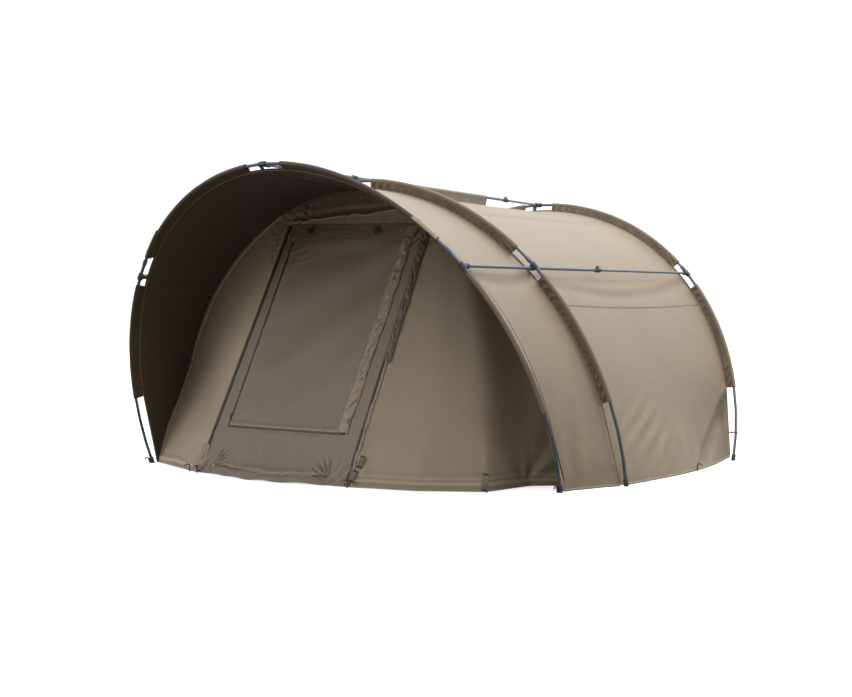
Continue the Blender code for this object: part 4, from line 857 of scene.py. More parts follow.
def sleeve_span(build, hoop, start, end, seed, creased, part, slot):
    """One stretch of a sleeve between two angles, with slanting creases near its cut ends."""
    line = hoop_at(hoop, np.linspace(start, end, 60))
    count = max(12, int(lengths(line)[-1] / 0.0055))
    angles = np.linspace(start, end, count)
    centre = hoop_at(hoop, angles)
    forward, fin, square = axes_at(hoop, angles)
    run = lengths(centre)
    from_end = np.minimum(run, run[-1] - run)[:, None]
    section = sleeve_section()
    f, q = section[:, 0][None], section[:, 1][None]
    across = fade(f - 0.001, 0.008) * fade(FIN_WIDTH + 0.001 - f, 0.005)
    wander = 0.30 * noise(run[:, None] / 0.09, f / 0.05, seed)
    lengthwise = (run > run[-1] / 2) == (part == 2) if part in (1, 2) else np.zeros(len(run), bool)
    along, slanting = (0.22 * from_end + f) / 0.0200, (from_end + 0.9 * f) / 0.047
    phase = np.where(lengthwise[:, None], along, slanting) + wander
    crest = (0.5 + 0.5 * np.sin(2 * math.pi * phase)) ** 1.4
    envelope = creased * np.exp(-(from_end / np.where(lengthwise, 0.12, 0.15)[:, None]) ** 2)
    small = puckers(FIN_WIDTH - f, run[:, None] + 0.0 * f, seed + 2, 0.034, 0.018, 0.9)
    ripple = (0.0075 * (crest - 0.40) * envelope * across
              + 0.0030 * creased * small * fade(FIN_WIDTH + 0.001 - f, 0.003)
              + 0.0012 * noise(run[:, None] / 0.05, f / 0.02, seed + 5) * across)
    side = np.where(q >= 0, 1.0, 0.8)
    bulge = 1 + 0.04 * noise(run / 0.05, run * 0, seed + 7)[:, None] * fade(0.015 - f, 0.02)
    grid = (centre[:, None] + fin[:, None] * (f * bulge)[..., None]
            + square[:, None] * (q * bulge + ripple * side)[..., None])
    # Painted shade in the sleeve's creases and painted highlight on their crests.
    painted_fold_shade = np.clip(ripple / 0.0020, -1, 1)
    build.slab(grid, SLEEVE_THICKNESS, unit(square[len(square) // 2]), slot, None, painted_fold_shade)
    for offset in (0.0325, 0.0345):
        at = np.arange(0.003, run[-1] - 0.003, SLEEVE_STITCH_PITCH)
        spots = np.interp(at, run, np.arange(count))
        low = np.clip(spots.astype(int), 0, count - 2)
        rest = (spots - low)[:, None]
        place = centre[low] * (1 - rest) + centre[low + 1] * rest
        fins, sides = fin[low], square[low]
        for face in (1, -1):
            middle = place + fins * offset + sides * face * (0.0020 if face < 0 else 0.0015)
            build.boxes(middle, fins, forward[low], sides, (0.0007, 0.0050, 0.0005), 1)


def sleeve_gaps(hoop):
    """Spans of angle where a hoop's sleeve is left open for its connectors."""
    spans = []
    right = GAP_SHIFT if hoop is FRONT else (0.0, 0.0)
    for angle, early, late in ((angle_at(hoop, hoop.gap_height, 1), *right),
                               (math.pi / 2, 0.0, 0.0), (angle_at(hoop, hoop.gap_height, -1), 0.0, 0.0)):
        first, last = angle_span(hoop, angle, GAP_LENGTH)
        spans.append((first + early, last + late))
    return spans


def make_sleeves():
    for seed, (hoop, creased) in enumerate(((FRONT, 0.5), (MIDDLE, 1.0), (REAR, 0.8))):
        build = Build()
        start = angle_at(hoop, hoop.leg_top)
        edges = [start] + [edge for span in sleeve_gaps(hoop) for edge in span] + [math.pi - start]
        for index in range(0, len(edges), 2):
            # The front sleeve's lower right stretch keeps the plain brown; the rest of it takes the darker
            # copy, painted shade.
            slot = 3 if hoop is FRONT and index == 0 else 0
            sleeve_span(build, hoop, edges[index], edges[index + 1], 40 + 9 * seed + index, creased,
                        index // 2, slot)
        for first, last in sleeve_gaps(hoop):
            angles = np.linspace(first - 0.01, last + 0.01, 24)
            _, fin, square = axes_at(hoop, angles)
            offsets = np.linspace(FIN_WIDTH - 0.009, FIN_WIDTH - 0.0005, 4)
            grid = band(hoop_at(hoop, angles), fin, offsets, square, np.full(len(offsets), 0.0006))
            build.slab(grid, 0.0018, square.mean(0), 0 if hoop is not MIDDLE else 2)
        cloth = SHADED_FRONT_SLEEVE if hoop is FRONT else SLEEVE
        piece = build.make(f"{hoop.name}_sleeve_cloth", [cloth, THREAD, CANOPY, SLEEVE], "tent",
                           [f"{hoop.name}_sleeve"])


def make_bar_sleeve(main):
    """The strip of cloth that ties the main canopy's ridge to the top bar."""
    low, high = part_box("top_bar_sleeve")
    start, end = np.array(BAR_START), np.array(BAR_END)
    direction = unit(end - start)
    ridge = main[:, main.shape[1] // 2]
    inside = (ridge[:, 1] > low.y + 0.002) & (ridge[:, 1] < high.y - 0.002)
    below = ridge[inside]
    below = line_at(below, np.linspace(0, 1, 90))
    centre = start + direction * ((below - start) @ direction)[:, None]
    inward = unit(below - centre)
    reach = np.linalg.norm(below - centre, axis=-1) - 0.0012
    section = sleeve_section()
    f = section[:, 0][None]
    f = f + np.clip((f - 0.0185) / (FIN_WIDTH - 0.019), 0, 1) * (reach[:, None] - FIN_WIDTH)
    run = lengths(centre)
    flat = np.clip((section[:, 0] - 0.013) / 0.02, 0, 1)[None]
    wave = noise(run[:, None] / 0.035 + f / 0.05, f / 0.04, 77)
    q = section[:, 1][None] + 0.004 * wave * flat * np.clip((reach[:, None] - f) / 0.015, 0, 1)
    grid = centre[:, None] + inward[:, None] * f[..., None] + np.array([1.0, 0, 0]) * q[..., None]
    build = Build()
    build.slab(grid, SLEEVE_THICKNESS, np.array([1.0, 0, 0]), 0)
    piece = build.make("top_bar_sleeve_cloth", [BAR_CLOTH], "tent", ["top_bar_sleeve"])


# Front wall and door

def wall_edge(angle):
    return hoop_at(MIDDLE, angle) + axes_at(MIDDLE, angle)[1] * (FIN_WIDTH + 0.004)


def arc_angle(share):
    return math.acos(math.copysign(abs(share) ** (1 / POWER), share))


def hem_point(share_x, share_reach):
    return np.array([FRONT.half_width * share_x, FEET_Y - 0.420 * share_reach, HEM])


def seam_height(hoop, height, side):
    line = seam(hoop)
    half = line[:len(line) // 2 + 1]
    point = np.array([np.interp(height, half[:, 2], half[:, k]) for k in range(3)])
    return point * [side, 1, 1]


LEFT_HEM = [corner_at(FRONT, -1, 0.008), hem_point(-0.613, 0.507), hem_point(-0.547, 0.581)]
RIGHT_HEM = [hem_point(*pair) for pair in ((0.256, 0.850), (0.539, 0.745), (0.770, 0.421), (0.820, -0.286))]
RIGHT_HEM.append(corner_at(MIDDLE, 1, 0.016))
TOPS = [arc_angle(share) for share in (-0.277, 0.342, -0.380, 0.437)]
LEFT_ZIP = np.array([LEFT_HEM[-1], wall_edge(TOPS[0])])
RIGHT_ZIP = np.array([RIGHT_HEM[0], wall_edge(TOPS[1])])
DOOR_TOP = 0.93
WINDOW_UP = (0.185, 0.94)
WINDOW_LEFT = (0.092, 0.066)
WINDOW_RIGHT = (0.890, 0.918)


def left_edge():
    points = [LEFT_HEM[0]]
    for height_share, back_share in ((0.12, 0.43), (0.25, 0.835), (0.36, 1.0)):
        height = MIDDLE.height * height_share
        front, back = seam_height(FRONT, height, -1), seam_height(MIDDLE, height, -1)
        stand = 0.004 + 0.006 * math.sin(math.pi * back_share)
        points.append(front + (back - front) * back_share + [stand, 0, 0])
    arc = np.linspace(angle_at(MIDDLE, MIDDLE.height * 0.4251, -1), TOPS[2], 40)
    return np.concatenate([np.array(points), wall_edge(arc)])


def door_at(over, up):
    """Points of the closed door at shares of its width and height."""
    over, up = np.broadcast_arrays(np.asarray(over, float), np.asarray(up, float))
    rise = (up * DOOR_TOP)[..., None]
    start = LEFT_ZIP[0] * (1 - rise) + LEFT_ZIP[1] * rise
    end = RIGHT_ZIP[0] * (1 - rise) + RIGHT_ZIP[1] * rise
    point = start * (1 - over[..., None]) + end * over[..., None]
    near = np.clip(1.0 - point[..., 2] / BELLY_HEIGHT, 0, None) ** 2
    point[..., 1] -= DOOR_BELLY * np.sin(math.pi * over) ** 2 * near
    return point


def window_over(up, shares):
    return shares[0] + (shares[1] - shares[0]) * (up - WINDOW_UP[0]) / (WINDOW_UP[1] - WINDOW_UP[0])


def window_at(share, up):
    """Points of the door at shares of the window's width and of the door's height."""
    over = window_over(up, WINDOW_LEFT) * (1 - share) + window_over(up, WINDOW_RIGHT) * share
    return door_at(over, up + 0 * over)


FACE = np.array([0.0, -0.94, 0.34])
BACKWARD = np.array([0.0, 1.0, 0.0])


def wing(build, columns, bottom, top, left, right, relief, slot):
    """One side of the front wall: a cloth between its edges, with a relief from its distances."""
    grid = coons(bottom, top, left, right)
    up = runs(grid)[1]
    even = blurred(blurred(grid, 7, 1), 7, 1)
    ends = np.minimum(np.arange(columns), np.arange(columns)[::-1])[None, :, None]
    grid = grid + (even - grid) * (fade(up, 0.35) * fade(up[-1:] - up, 0.20))[..., None] * fade(ends, 14.0)
    across, up = runs(grid)
    height = relief(across, across[:, -1:] - across, up, up[-1:] - up)
    edge = np.minimum(across, across[:, -1:] - across)
    height = height * fade(up + 0.004, 0.01) * fade(edge + 0.002, 0.016)
    grid = raised(grid, FACE, height)
    # The last argument paints shade into the creases and highlight onto the crests.
    build.slab(grid, CLOTH_THICKNESS, FACE, slot, 1, hollows(height, 3, 0.0028))


def left_relief(across, far, up, top):
    height = 0.008 * noise(across / 0.24, up / 0.60, 51) * fade(np.minimum(across, far), 0.08)
    height += 0.0018 * puckers(far, up, 52, 0.040, 0.022, 0.8)
    height += 0.0045 * bump(across - 0.030, 0.008) - 0.0040 * bump(across - 0.046, 0.008)
    height += 0.0050 * folds(far / 0.045, up / 0.16, 53) * bump(up - 0.03, 0.05) * bump(far, 0.16)
    height += 0.0055 * bump(up - 0.026 - 0.008 * noise(across / 0.12, 0 * up, 55), 0.009)
    corner = np.hypot(far, top * 0.8)
    crumple = folds((far * 0.6 + top) / 0.045, (far - top) / 0.14, 54)
    height += 0.0090 * crumple * bump(corner, 0.16) * fade(top, 0.02)
    return height


def right_relief(across, far, up, top):
    edge = np.minimum(across, far)
    height = -0.008 * noise(across / 0.34 + up / 0.9, up / 0.70, 61) * fade(edge, 0.12) * fade(up, 0.2)
    fan = np.arctan2(across - 0.672 * across[0, -1], up + 0.03)
    height -= 0.0040 * np.sin(fan * 9 + 0.6) * bump(up - 0.20, 0.20) * fade(up, 0.08) * fade(edge, 0.06)
    height += 0.0018 * puckers(across, up, 62, 0.040, 0.022, 0.8)
    height += 0.0026 * puckers(far, up, 63, 0.05, 0.05, 0.8)
    wander = 0.006 * noise(across / 0.2, 0 * up, 64)
    height += 0.0050 * bump(up - 0.028 - wander, 0.007) + 0.0028 * bump(up - 0.052 - wander, 0.006)
    corner = np.hypot(across, top * 0.8)
    crumple = folds((across * 0.6 + top) / 0.045, (across - top) / 0.14, 65)
    height += 0.0085 * crumple * bump(corner, 0.15) * fade(top, 0.02)
    height += 0.0040 * folds(across / 0.045, up / 0.15, 66) * bump(np.hypot(across, up - 0.05), 0.09)
    return height


def crest_up(over):
    """How far up the wall the rolled edge over the door runs, at shares of the door's width."""
    return CREST_LEFT + CREST_RISE * over


def make_front_wall():
    build = Build()
    rows = 190
    shares = np.linspace(0, 1, rows)
    left = rounded(left_edge(), rows, 0.03)
    right_arc = np.linspace(angle_at(MIDDLE, MIDDLE.leg_top), TOPS[3], 60)
    right = rounded(np.concatenate([[RIGHT_HEM[-1]], wall_edge(right_arc)]), rows, 0.02)
    left_line, right_line = line_at(LEFT_ZIP, shares), line_at(RIGHT_ZIP, shares)
    # The left wing takes the third slot, the lighter copy of the wall's cloth: painted light.
    wing(build, 80, rounded(LEFT_HEM, 80, 0.012), wall_edge(np.linspace(TOPS[2], TOPS[0], 80)), left,
         left_line, left_relief, 2)
    wing(build, 150, rounded(RIGHT_HEM, 150, 0.016), wall_edge(np.linspace(TOPS[1], TOPS[3], 150)),
         right_line, right, right_relief, 0)
    # The cloth above the door, with the rolled edge of its valance and the hollow over it.
    columns, sides = 110, np.linspace(DOOR_TOP, 1, 72)
    over = np.linspace(0, 1, columns)
    grid = coons(door_at(over, 1.0), wall_edge(np.linspace(TOPS[0], TOPS[1], columns)),
                 line_at(LEFT_ZIP, sides), line_at(RIGHT_ZIP, sides))
    across, up = runs(grid)
    length = np.linalg.norm(LEFT_ZIP[1] - LEFT_ZIP[0]) * DOOR_TOP
    off = up - (crest_up(over)[None] - 1) * length - 0.0035 * noise(across / 0.10, 0 * up, 73)
    swell = 0.75 + 0.35 * noise(across / 0.07, 0 * up, 74)
    lift = np.where(off < 0, bump(off, 0.030), bump(off, 0.0045)) * swell
    height = 0.016 * lift - 0.014 * bump(off - 0.018, 0.012) + 0.004 * bump(off - 0.045, 0.016)
    gathered = bump(across, 0.11) + bump(across[:, -1:] - across, 0.10)
    crumple = folds((across + off) / 0.040, off / 0.045, 71)
    height += (0.0008 + 0.0080 * gathered) * crumple * fade(off + 0.06, 0.02)
    height += 0.0025 * folds(across / 0.14, up / 0.05, 72)
    edge = np.minimum(across, across[:, -1:] - across)
    height = height * fade(up[-1:] - up, 0.02) * fade(edge + 0.002, 0.02)
    height = height * (0.35 + 0.65 * fade(up, 0.008))
    grid = raised(grid, FACE, height)
    # Painted shade in the creases, painted highlight on the crests, and a painted shadow in the hollow over
    # the rolled edge.
    painted_fold_shade = np.clip(hollows(height, 4, 0.0035) - 1.6 * bump(off - 0.018, 0.010), -1, 1)
    build.slab(grid, CLOTH_THICKNESS, FACE, 0, 1, painted_fold_shade)
    piece = build.make("front_wall_cloth", [WALL, CANOPY_IN, WING], "tent", ["front_wall"])
    # Piping along the rolled edge.
    row = np.argmax(np.where(np.abs(off) < 0.012, height, -1), axis=0)
    path = grid[row, np.arange(columns)][3:-4] + FACE * 0.0040
    line = line_at(path, np.linspace(0, 1, 160))
    tube_piece("door_valance_piping", line, 0.0042, EDGE_PIPING, "tent")


def gather(distance, run, seed, height, reach=0.03, spacing=0.05):
    """Crumples beside a zip that is shorter than its cloth."""
    wander = 3 * noise(run / 0.15, 0 * run, seed)
    crest = folds(run / spacing + distance / 0.06, distance / 0.022 + wander, seed + 1)
    swell = 0.5 + 0.5 * noise(run / 0.11, 0 * run, seed + 3)
    return height * crest * (0.4 + 0.6 * swell) * np.exp(-(distance / reach) ** 2)


def make_door():
    build = Build()
    width = np.linalg.norm(RIGHT_ZIP[0] - LEFT_ZIP[0])
    gap = 0.002 / width
    ups = np.concatenate([np.linspace(0, WINDOW_UP[0], 44), np.linspace(*WINDOW_UP, 190)[1:],
                          np.linspace(WINDOW_UP[1], DOOR_END, 16)[1:]])
    # Strips on both sides of the window.
    edges = ((0 * ups + gap, window_over(ups, WINDOW_LEFT)),
             (window_over(ups, WINDOW_RIGHT), 0 * ups + 1 - gap))
    for side, (first, last) in enumerate(edges):
        share = np.linspace(0, 1, 22)[None]
        over = first[:, None] * (1 - share) + last[:, None] * share
        grid = door_at(over, ups[:, None] + 0 * over)
        across, rise = runs(grid)
        far, top = across[:, -1:] - across, rise[-1:] - rise
        inner, outer = (far, across) if side == 0 else (across, far)
        height = gather(outer, rise, 81 + side, 0.003 + 0.003 * side, 0.014, 0.045)
        height += gather(inner, rise, 85 + side, 0.002 + 0.005 * side, 0.015, 0.040)
        crumple = folds((across * (1 - 2 * side) + rise) / 0.045, (across - rise) / 0.15, 87 + side)
        height += 0.0095 * crumple * bump(top, 0.13)
        height *= fade(np.minimum(inner, outer) + 0.001, 0.022)
        crumple = folds(across / 0.030, rise / 0.11, 88 + side)
        height += 0.005 * crumple * bump(rise - 0.045, 0.05) * fade(rise, 0.02)
        height *= fade(rise, 0.02) * fade(top, 0.01)
        # The last argument paints shade into the creases and highlight onto the crests.
        build.slab(raised(grid, FACE, height), CLOTH_THICKNESS, FACE, 0, 1, hollows(height, 3, 0.0025))
    # The skirt below the window, with the crease above its mud flap, and the strip over the window.
    for first, last, rows, seed in ((0.0, WINDOW_UP[0], 76, 91), (WINDOW_UP[1], DOOR_END, 18, 95)):
        rise_shares = np.linspace(first, last, rows)[:, None]
        share = np.linspace(0, 1, 190)[None]
        grid = window_at(share, rise_shares)
        across, rise = runs(grid)
        edge = np.minimum(across, across[:, -1:] - across)
        if first == 0.0:
            crease = 0.060 + 0.010 * noise(across / 0.16, 0 * across, seed) - 0.012 * across / across[:, -1:]
            height = 0.0065 * np.where(rise > crease, bump(rise - crease, 0.022), bump(rise - crease, 0.007))
            crumple = folds(across / 0.060, (rise - crease) / 0.018, seed + 1)
            height += 0.0030 * crumple * bump(rise - crease, 0.016)
            height += 0.007 * noise(across / 0.30, rise / 0.22, seed + 2) * fade(edge, 0.08)
            turn = np.arctan2(rise - 0.02, edge + 0.01)
            tuck = bump(edge - 0.03, 0.060) * bump(rise - 0.080, 0.045)
            wander = 1.5 * noise(edge / 0.04, rise / 0.04, seed + 3)
            height += (0.0045 * np.sin(24 * turn + wander) - 0.004) * tuck
            sway = folds((across - rise * 0.5) / 0.26, (rise + across) / 0.3, seed + 4)
            height += 0.0022 * sway * fade(edge, 0.03)
            height += 0.0060 * np.sin(2 * math.pi * across / 0.22 + 1.5) * bump(rise - 0.005, 0.03)
            height *= fade(rise[-1:] - rise, 0.02)
        else:
            height = 0.0012 * folds(across / 0.11, rise / 0.03, seed)
            height *= fade(rise, 0.01) * fade(rise[-1:] - rise, 0.01)
            tuck = 0 * edge
        height *= fade(edge, 0.015)
        # Painted shade in the creases, painted highlight on the crests, and more painted shade in the tucks at
        # the skirt's corners.
        painted_fold_shade = np.clip(hollows(height, 3, 0.002) - 0.6 * tuck, -1, 1)
        build.slab(raised(grid, FACE, height), CLOTH_THICKNESS, FACE, 0, 1, painted_fold_shade)
    piece = build.make("door_cloth", [DOOR, CANOPY_IN], "door", ["door_panel"])


def make_window():
    rise_shares = np.linspace(WINDOW_UP[0] + 0.0012, WINDOW_UP[1], 200)[:, None]
    share = np.linspace(0.003, 0.997, 170)[None]
    grid = window_at(share, rise_shares)
    across, rise = runs(grid)
    far, top = across[:, -1:] - across, rise[-1:] - rise
    edge = np.minimum(np.minimum(across, far), rise)
    height = 0.012 * noise(across / 0.32 + rise / 0.6, rise / 0.38, 101) * fade(edge, 0.10)
    height += gather(across, rise, 103, 0.0025, 0.014, 0.05) + gather(far, rise, 107, 0.0070, 0.045, 0.055)
    height += 0.0050 * bump(rise - 0.010, 0.007) + 0.0024 * puckers(rise, across, 111, 0.030, 0.020, 0.5)
    crumple = folds((far - rise) / 0.10, (far + rise) / 0.045, 109)
    height += 0.0050 * crumple * bump(np.hypot(far, rise - 0.03), 0.055)
    crumple = folds((across * 0.4 + top) / 0.07, (across - top) / 0.2, 113)
    height += 0.0060 * crumple * bump(np.hypot(across, top), 0.16)
    wander = 2.4 * noise(across / 0.4, rise / 0.4, 117)
    waves = np.sin(2 * math.pi * (across * 0.55 - rise) / 0.36 + wander)
    height += 0.0035 * waves * fade(edge, 0.12)
    height *= fade(edge + 0.0015, 0.008) * fade(top, 0.10)
    grid = raised(grid, FACE, height)
    build = Build()
    # The last argument paints shade into the creases and highlight onto the crests.
    build.slab(grid, CLOTH_THICKNESS, FACE, 0, 1, hollows(height, 4, 0.0032))
    piece = build.make("window_cloth", [DOOR, CANOPY_IN], "window", ["window_flap"])


def make_rear():
    edge = seam(REAR, 0.0024)
    steps = round((len(edge) - 1) * 0.37)
    right, left = edge[:steps + 1], edge[:len(edge) - steps - 2:-1]
    top = edge[steps:len(edge) - steps]
    share = np.linspace(0, 1, len(top))[:, None]
    bottom = right[0] * (1 - share) + left[0] * share
    bottom[:, 1] += 0.05 * np.sin(math.pi * share[:, 0])
    grid = coons(bottom, top, right, left)
    across, up = runs(grid)
    border = np.minimum(np.minimum(across, across[:, -1:] - across), up[-1:] - up)
    height = 0.008 * noise(across / 0.45, up / 0.40, 121) * fade(border, 0.12)
    height += 0.0025 * puckers(border, across + up, 122, 0.035, 0.05)
    height += 0.004 * bump(up - 0.04, 0.02) * fade(border, 0.03)
    height *= fade(up + 0.01, 0.02) * fade(border, 0.014)
    grid = raised(grid, BACKWARD, height)
    build = Build()
    # The last argument paints shade into the creases and highlight onto the crests.
    build.slab(grid, CLOTH_THICKNESS, BACKWARD, 0, 1, hollows(height, 4, 0.0035))
    piece = build.make("rear_cloth", [CANOPY, CANOPY_IN], "tent", ["rear_panel"])


# Zips

def zip_frame(path):
    """Directions along a zip's path, across it and out of the wall."""
    forward = unit(np.gradient(path, axis=0))
    across = unit(np.cross(np.broadcast_to(FACE, path.shape), forward))
    across = across * np.sign(across[:, :1])
    out = np.cross(across, forward)
    return forward, across, unit(out) * np.sign((out * FACE).sum(-1))[:, None]


def zip_half(name, path, side, body, axes, offsets):
    """One half of a zip: its tape and its row of teeth. side is -1 for the half on the left or below."""
    forward, across, out = axes
    run = lengths(path)
    build = Build()
    lifts = np.array([0.0026, 0.0022, 0.0014])
    build.slab(band(path, across, np.array(offsets) * side, out, lifts), TAPE_THICKNESS, FACE, 0)
    at = np.arange(0.006, run[-1] - 0.003, TOOTH_PITCH) + (TOOTH_PITCH / 2 if side > 0 else 0.0)
    centre = points_at(at, run, path + across * 0.0013 * side + out * TOOTH_LIFT)
    pick = np.clip(np.searchsorted(run, at), 0, len(run) - 1)
    build.boxes(centre, across[pick], forward[pick], out[pick], TOOTH_SIZE, 1)
    build.make(name, [TAPE, TEETH], body)


def make_zips():
    ups = np.linspace(0.004, 0.995, 260)
    window_ups = np.linspace(WINDOW_UP[0], WINDOW_ZIP_END, 200)
    doors = [("door", name, door_at(0 * ups + over, ups), (("wall", "tent", 0.008), ("door", "door", 0.0095)))
             for name, over in (("left", 0), ("right", 1))]
    windows = [("window", name, door_at(window_over(window_ups, shares), window_ups),
                (("door", "door", 0.0045), ("flap", "window", 0.0045)))
               for name, shares in (("left", WINDOW_LEFT), ("right", WINDOW_RIGHT))]
    for opening, name, path, halves in doors + windows:
        inner = 1 if name == "left" else -1
        axes = zip_frame(path)
        for (part, body, width), side in zip(halves, (-inner, inner)):
            offsets = (0.0006, 0.3 * width, width)
            zip_half(f"{opening}_{name}_zip_{part}_half", path, side, body, axes, offsets)
    path = window_at(np.linspace(0.004, 0.996, 180), WINDOW_UP[0])
    forward = unit(np.gradient(path, axis=0))
    out = np.broadcast_to(FACE, path.shape)
    across = unit(np.cross(out, forward))
    axes = forward, across * np.sign(across[:, 2:]), out
    for part, side, body in (("door", -1, "door"), ("flap", 1, "window")):
        zip_half(f"window_bottom_zip_{part}_half", path, side, body, axes, (0.0006, 0.0014, 0.0025))


def storm_flap(name, path, side, body, width, seed, height, material, spacing,
               start=0.30, rise=0.0035):
    """A crumpled flap of cloth that covers a zip, sewn on beside it."""
    _, across, out = zip_frame(path)
    run = lengths(path)[:, None]
    over = np.linspace(0, 1, 13)[None]
    crest = folds((run + 1.3 * width * over) / spacing, over * 1.1 + 0.16 * run / spacing, seed)
    swell = (0.35 + 0.65 * np.abs(crest)) * np.sin(math.pi * (0.08 + 0.84 * over))
    wander = 0.005 * noise(run / 0.06, over * 0.5, seed + 2)
    offset = side * (width * (over - start)) + wander
    rough = 0.0018 * noise(run / 0.020, over * 3, seed + 3) * fade(over * (1 - over), 0.15)
    lift = rise + height * swell + rough
    grid = path[:, None] + across[:, None] * offset[..., None] + out[:, None] * lift[..., None]
    build = Build()
    # The last argument paints shade into the flap's hollows and highlight onto its crests.
    build.slab(grid, TAPE_THICKNESS, FACE, 0, None, np.clip((lift - blurred(lift, 4, 0)) / 0.0022, -1, 1))
    build.make(name, [material], body)


def make_flaps():
    lower, upper = np.linspace(0.02, 0.50, 200), np.linspace(0.46, 0.99, 260)
    foot, head = np.linspace(0.01, 0.11, 60), np.linspace(0.84, 0.99, 80)
    lower_line = door_at(0 * lower + 1, lower) - FACE * 0.001
    # The gather beside the door's right zip is coloured dark: painted shade of its crumples.
    storm_flap("door_right_gather", door_at(0 * upper + 1, upper), 1, "tent", 0.040, 131, 0.018, SHADED_GATHER_CLOTH,
               0.048, 0.14)
    storm_flap("door_right_lower_flap", lower_line, 1, "tent", 0.013, 135, 0.005, RIBBON, 0.045, -0.45)
    storm_flap("door_left_foot_flap", door_at(0 * foot, foot), -1, "tent", 0.045, 141, 0.008, WALL, 0.045)
    storm_flap("door_left_head_flap", door_at(0 * head, head), -1, "tent", 0.040, 145, 0.010, WALL,
               0.026, -0.18, 0.0120)
    # The ribbon over the window's right zip is cut at the window's top, where the window's hinge is.
    top = np.linspace(WINDOW_UP[1] + 0.004, 0.985, 30)
    ups = np.linspace(WINDOW_UP[0] + 0.004, WINDOW_UP[1] - 0.008, 320)
    for name, shares, body, seed, height in (("window_right_ribbon_top", top, "door", 155, 0.008),
                                             ("window_right_ribbon", ups, "window", 151, 0.018)):
        path = door_at(window_over(shares, WINDOW_RIGHT), shares)
        storm_flap(name, path, -1, body, 0.056, seed, height, RIBBON, 0.068)


# Straps, cords and small trims

def make_straps():
    """Webbing at the pegs, and the light tabs at the ends of the front sleeve."""
    up_wall = unit(RIGHT_ZIP[1] - RIGHT_ZIP[0])
    level, tilted = unit([1.0, 0.25, 0.0]), unit([1.0, 0.12, -0.25])
    half_width = 0.012
    for name, start, length, side in (("right_wing_strap", (0.9523, -1.0235, 0.012), 0.070, level),
                                      ("door_strap_high", (0.3690, -1.1570, 0.094), 0.050, tilted),
                                      ("door_strap_low", (0.3440, -1.1850, 0.030), 0.048, tilted)):
        rise = unit(up_wall - side * (up_wall @ side))
        out = unit(np.cross(side, rise))
        steps = np.linspace(0, length, 12)
        bow = 0.005 * np.sin(math.pi * steps / length)
        path = np.array(start) + rise * steps[:, None] + out * (0.006 + bow)[:, None]
        build = Build()
        build.slab(path[:, None] + side * np.array([[[-half_width], [half_width]]]), 0.0016, out, 0)
        build.boxes(path[[0, -1]] + out * 0.0016, side, rise, out, (0.026, 0.008, 0.0022), 1)
        build.make(name, [WEBBING, TAPE], "tent")
    last = sleeve_gaps(FRONT)[0][1]
    right_angles = np.linspace(last + 0.002, last + 0.110, 18)
    turn = np.radians(np.linspace(-85, 85, 11))[None, :, None]
    lift = 0.0140 + 0.0035 * fade(np.linspace(-0.2, 1, 18), 1.0)
    for side, angles in (("right", right_angles), ("left", math.pi - right_angles)):
        forward = axes_at(FRONT, angles)[0]
        centre = hoop_at(FRONT, angles)
        outward = unit(centre - [0.0, centre[0, 1], 0.4])
        outward = unit(outward - forward * (outward * forward).sum(-1, keepdims=True))
        around = np.cross(forward, outward)
        ring = outward[:, None] * np.cos(turn) + around[:, None] * np.sin(turn)
        build = Build()
        build.slab(centre[:, None] + ring * lift[:, None, None], 0.0014, outward.mean(0), 0)
        build.make(f"front_{side}_sleeve_tab", [TRIM], "tent")


def hoop_strap(hoop, angle, name):
    """A webbing tie from a hoop's pole to the seam behind its sleeve."""
    angles = np.linspace(angle - 0.009, angle + 0.009, 4)
    _, fin, square = axes_at(hoop, angles)
    offsets = np.linspace(0.0085, FIN_WIDTH - 0.002, 9)
    lift = 0.0035 * np.sin(math.pi * np.linspace(0, 1, 9))
    grid = (hoop_at(hoop, angles)[:, None] + fin[:, None] * offsets[None, :, None]
            + square[:, None] * (0.0015 + lift)[None, :, None])
    build = Build()
    build.slab(grid, 0.0016, square.mean(0), 0)
    build.make(name, [WEBBING], "tent")


def leg_loop(hoop, side, height, name):
    """An elastic loop, stitched to the canopy's edge, that goes round a leg, and its toggle."""
    angle = angle_at(hoop, height, side)
    _, fin, square = (axis[0] for axis in axes_at(hoop, np.array([angle])))
    centre = hoop_at(hoop, np.array([angle]))[0]
    turns = np.linspace(-0.75 * math.pi, 0.75 * math.pi, 24)[:, None]
    ring = centre - (fin * np.cos(turns) + square * np.sin(turns)) * 0.0105
    ends = [centre + fin * (FIN_WIDTH + 0.003) + square * sign * 0.0025 for sign in (1, -1)]
    path = np.concatenate([[ends[0]], ring, [ends[1]]])
    build = Build()
    build.tube(line_at(path, np.linspace(0, 1, 70)), 0.0019, 8)
    ball = centre + fin * 0.026
    slices = np.linspace(-0.95, 0.95, 7)
    build.tube(ball + fin * (0.0065 * slices)[:, None], 0.0065 * np.sqrt(1 - slices ** 2 * 0.9), 12, 1)
    build.make(name, [CORD, PLASTIC], "tent")


def toggle_bow(side, name):
    """A knotted bow of elastic behind a toggle at the top of the door."""
    low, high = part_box(f"{side}_toggle")
    out = unit(FACE)
    right = np.array([1.0, 0.0, 0.0])
    rise = np.cross(out, right)
    turns = np.linspace(0, 2 * math.pi, 70)[:, None]
    centre = (np.array(low) + np.array(high)) / 2
    lean = 0.35 if side == "left" else -0.25
    wide = unit(right + rise * lean)
    path = (centre + out * (0.004 + 0.0035 * np.cos(turns / 2))
            + wide * 0.026 * np.sin(turns) + rise * (0.020 * np.sin(turns) * np.cos(turns) + 0.004))
    tail = centre - rise * 0.030 + out * 0.004
    path = np.concatenate([[tail - right * 0.010], path, [tail + right * 0.012]])
    tube_piece(name, line_at(path, np.linspace(0, 1, 110)), 0.0017, CORD, "door")


